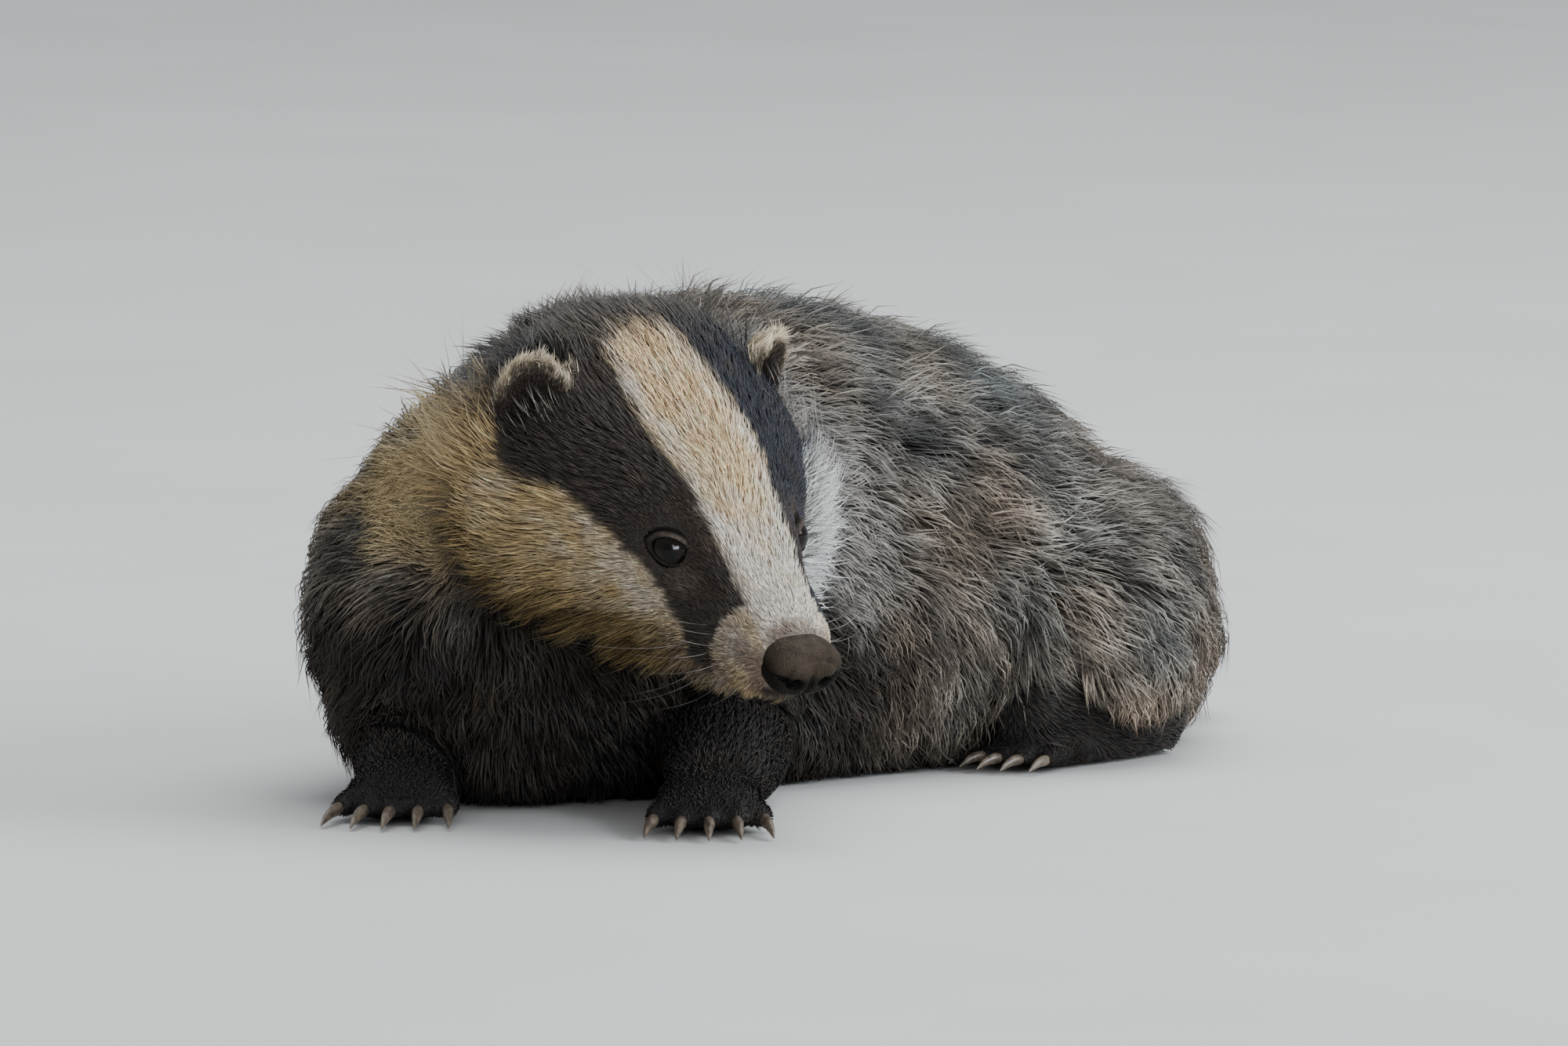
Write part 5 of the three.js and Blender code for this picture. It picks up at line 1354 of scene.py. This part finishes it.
# The pad's brown where light falls on its top, and the painted shade of its underside and nostrils.
PAD_LIT_TOP, PAD_SHADE = np.array([[0.052, 0.039, 0.028], [0.006, 0.005, 0.004]])
PAD, tree, shader = finish("nose_pad", 0.55, Specular_IOR_Level=0.05)
mottle = ramp(tree, noise(tree, 260, 4.0), (0.3, (0.5,) * 3), (0.7, (1.15,) * 3))
tree.links.new(times(tree, carried_colour(tree), mottle), shader.inputs["Base Color"])
pebbles = tree.nodes.new("ShaderNodeTexVoronoi")
pebbles.inputs["Scale"].default_value = 1500
place = tree.nodes.new("ShaderNodeTexCoord")
tree.links.new(place.outputs["Object"], pebbles.inputs["Vector"])
bump(tree, shader, pebbles.outputs["Distance"], 0.6, 0.0005)
nose = mesh_piece("nose_pad", *nose_points())
nose.data.materials.append(PAD)
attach(nose, "root")
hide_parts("nose")
print("nose pad", len(nose.data.polygons), "faces")

# %% [markdown]
# ## Claws
# Fore claws are long and made for digging, hind claws short. Each is a gently hooked cone, higher than it is
# wide, that starts inside the toe.

# %% Claws
def claw_form(limb, place):
    """A claw as a form: from inside the toe, forward by reach and down by the droop times reach squared."""
    toe, along = toe_line(limb, place)
    claw = FORE_CLAW if limb["fore"] else HIND_CLAW
    share = np.array([-0.2, 0.0, 0.35, 0.7, 0.96])
    reach = toe["length"] + 0.3 + claw["length"] * share
    height = np.maximum(toe["z"] * 0.9 - claw["droop"] * np.maximum(share, 0) ** 2, 0.9)
    size = claw["radius"] * np.array([0.8, 1.0, 0.86, 0.55, 0.14])
    return form(np.stack([*along(reach), height, size * 0.82, size, size * 0.9], 1), dome=0.3)


HORN, tree, shader = finish("claw_horn", 0.35, Specular_IOR_Level=0.5)
streaks = noise(tree, 700, 4.0, (1, 0.35, 1))
horn_colour = ramp(tree, streaks, (0.3, (0.055, 0.040, 0.030)), (0.7, (0.21, 0.165, 0.12)))
tree.links.new(horn_colour, shader.inputs["Base Color"])
bump(tree, shader, streaks, 0.3, 0.0003)
for limb in LIMBS:
    shapes = [closed_grid(claw_form(limb, k), 48, 20, place_limb(limb), 0.05, 0.2) for k in TOE_PLACES]
    claws = mesh_piece(f"claws_{limb['paw']}", *joined(shapes))
    claws.data.materials.append(HORN)
    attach(claws, "root")
    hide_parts(*(f"{limb['paw']}_claw_{k}" for k in range(1, len(TOE_PLACES) + 1)))
    print(claws.name, len(claws.data.polygons), "faces")

# %% [markdown]
# ## Whiskers
# Stiff hairs stand on the muzzle in rows, longer towards the cheek. Each is a thin round tube that tapers.

# %% Whiskers
def whisker_set(side, rows=3, columns=4, steps_along=12, round_about=5):
    """Tubes from a grid of spots on the muzzle's side, bent back along a quadratic curve."""
    back, angle = np.meshgrid(np.linspace(14, 30, columns), np.linspace(8, -34, rows))
    back, angle = (back + rng.normal(size=back.shape)).ravel(), (angle + rng.normal(size=angle.shape) * 2).ravel()
    u, a = share_at(HEAD, -back), face_angle(side, angle)
    at, out = surface(HEAD, u, a, -1.6), steps(HEAD, u, a)[2]
    length = (16 + (back - 14) * 1.1) * rng.uniform(0.8, 1.15, len(back))
    t = np.linspace(0, 1, steps_along)[None, :, None]
    backward = -FORWARD * 0.75 - UP * 0.1
    path = at[:, None] + (out[:, None] * t * 0.85 + backward * t ** 2 * 0.8) * length[:, None, None]
    ahead = unit(out[:, None] * 0.85 + backward * 1.6 * t)
    across = unit(np.cross(ahead, UP))
    over = np.cross(ahead, across)
    turn = np.linspace(0, 2 * np.pi, round_about, endpoint=False)
    radius = (0.11 * (1 - t[0, :, 0]) ** 0.8 + 0.015)[None, :, None, None]
    ring = across[:, :, None] * np.cos(turn)[:, None] + over[:, :, None] * np.sin(turn)[:, None]
    points = place_head(path[:, :, None] + ring * radius).reshape(-1, 3)
    faces = grid_faces(steps_along, round_about)
    return points, (faces[None] + np.arange(len(back))[:, None, None] * steps_along * round_about).reshape(-1, 4)


WHISKER, tree, shader = finish("whisker", 0.4)
whisker_colour = ramp(tree, noise(tree, 120), (0.4, (0.02, 0.016, 0.014)), (0.65, (0.20, 0.17, 0.14)))
tree.links.new(whisker_colour, shader.inputs["Base Color"])
for name, side in SIDES.items():
    whiskers = mesh_piece(f"whiskers_{name}", *whisker_set(side))
    whiskers.data.materials.append(WHISKER)
    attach(whiskers, "root")
    print(whiskers.name, len(whiskers.data.polygons), "faces")

# %% [markdown]
# ## Studio
# A wide pale floor, a broad soft light overhead, a cooler one from the animal's left and a gentle one from the
# front give the even light of an overcast day. A fourth lamp shows in reflections alone, and puts the bright spot
# of the sky on the wet eye without lighting the fur.

# %% Floor and lights
def disc(radius, rings=24, columns=96):
    """A flat round floor whose rings grow with distance squared."""
    r = np.linspace(0.001, 1, rings)[:, None] ** 2 * radius
    turn = np.linspace(0, 2 * np.pi, columns, endpoint=False)[None]
    points = np.stack([r * np.cos(turn), r * np.sin(turn), 0 * r * turn], -1)
    return points.reshape(-1, 3), grid_faces(rings, columns)


PAPER, tree, shader = finish("pale_floor", 0.85)
paper_colour = ramp(tree, noise(tree, 6), (0.3, (0.60, 0.59, 0.57)), (0.7, (0.64, 0.63, 0.61)))
tree.links.new(paper_colour, shader.inputs["Base Color"])
bump(tree, shader, noise(tree, 400), 0.05, 0.0005)
floor = mesh_piece("floor", *disc(6000))
floor.data.materials.append(PAPER)


def soft_light(name, size, power_watts, at, target, colour):
    """A rectangular area light, wide by high, that looks at a target and is itself unseen."""
    data = bpy.data.lights.new(name, "AREA")
    data.shape = "RECTANGLE"
    (data.size, data.size_y), data.energy, data.color = size, power_watts, colour
    lamp = bpy.data.objects.new(name, data)
    bpy.context.collection.objects.link(lamp)
    away = unit(np.array(at, float) - np.array(target, float))
    level = unit(np.cross(UP, away))
    matrix = np.eye(4)
    matrix[:3, :3] = np.stack([level, np.cross(away, level), away], 1)
    matrix[:3, 3] = at
    lamp.matrix_world = Matrix(matrix.tolist())
    lamp.visible_camera = False
    return lamp


soft_light("sky", (3.0, 3.0), 105, (0.7, 0.6, 2.9), (0, 0, 0.05), (0.93, 0.97, 1.0))
soft_light("window", (1.5, 1.5), 80, (2.5, -0.6, 1.2), (0, 0, 0.06), (0.88, 0.94, 1.0))
soft_light("fill", (0.5, 0.5), 9, (0.0, -2.9, 1.15), (0, 0, 0.06), (1.0, 0.98, 0.95))
glint = soft_light("glint", (1.6, 0.8), 150, (0.9, -3.0, 0.56), (0, -0.15, 0.08), (0.85, 0.92, 1.0))
glint.visible_diffuse = False
world = bpy.data.worlds.new("studio")
world.use_nodes = True
world.node_tree.nodes["Background"].inputs["Color"].default_value = (0.82, 0.86, 0.92, 1)
world.node_tree.nodes["Background"].inputs["Strength"].default_value = 0.6
bpy.context.scene.world = world

# %% [markdown]
# ## Camera
# The camera looks slightly down from five metres with a long lens, as one watches a wild animal. Its place comes
# from the nose, which is set so many millimetres to the right of the picture's middle and below it, because that
# is the point whose place in the picture is known best.

# %% Camera
ELEVATION = degrees(6)
AWAY = 5.0
PICTURE_WIDTH = 0.4348  # metres across the picture at the nose
LOOK = np.array([0, math.cos(ELEVATION), -math.sin(ELEVATION)])
RIGHT = np.array([1.0, 0, 0])
NOSE_CENTRE = np.array([6.04, -176.72, 49.86])
NOSE_RIGHT, NOSE_BELOW = 5.2, 40.2
axis_point = (NOSE_CENTRE - NOSE_RIGHT * RIGHT + NOSE_BELOW * np.cross(RIGHT, LOOK)) * MM
data = bpy.data.cameras.new("camera")
data.sensor_width, data.lens = 36, 36 * AWAY / PICTURE_WIDTH
data.clip_end = 60
camera = bpy.data.objects.new("camera", data)
camera.location = axis_point - LOOK * AWAY
camera.rotation_euler = (math.pi / 2 - ELEVATION, 0, 0)
bpy.context.collection.objects.link(camera)
bpy.context.scene.camera = camera
print("camera", [round(v, 3) for v in camera.location], "lens", round(data.lens, 1))
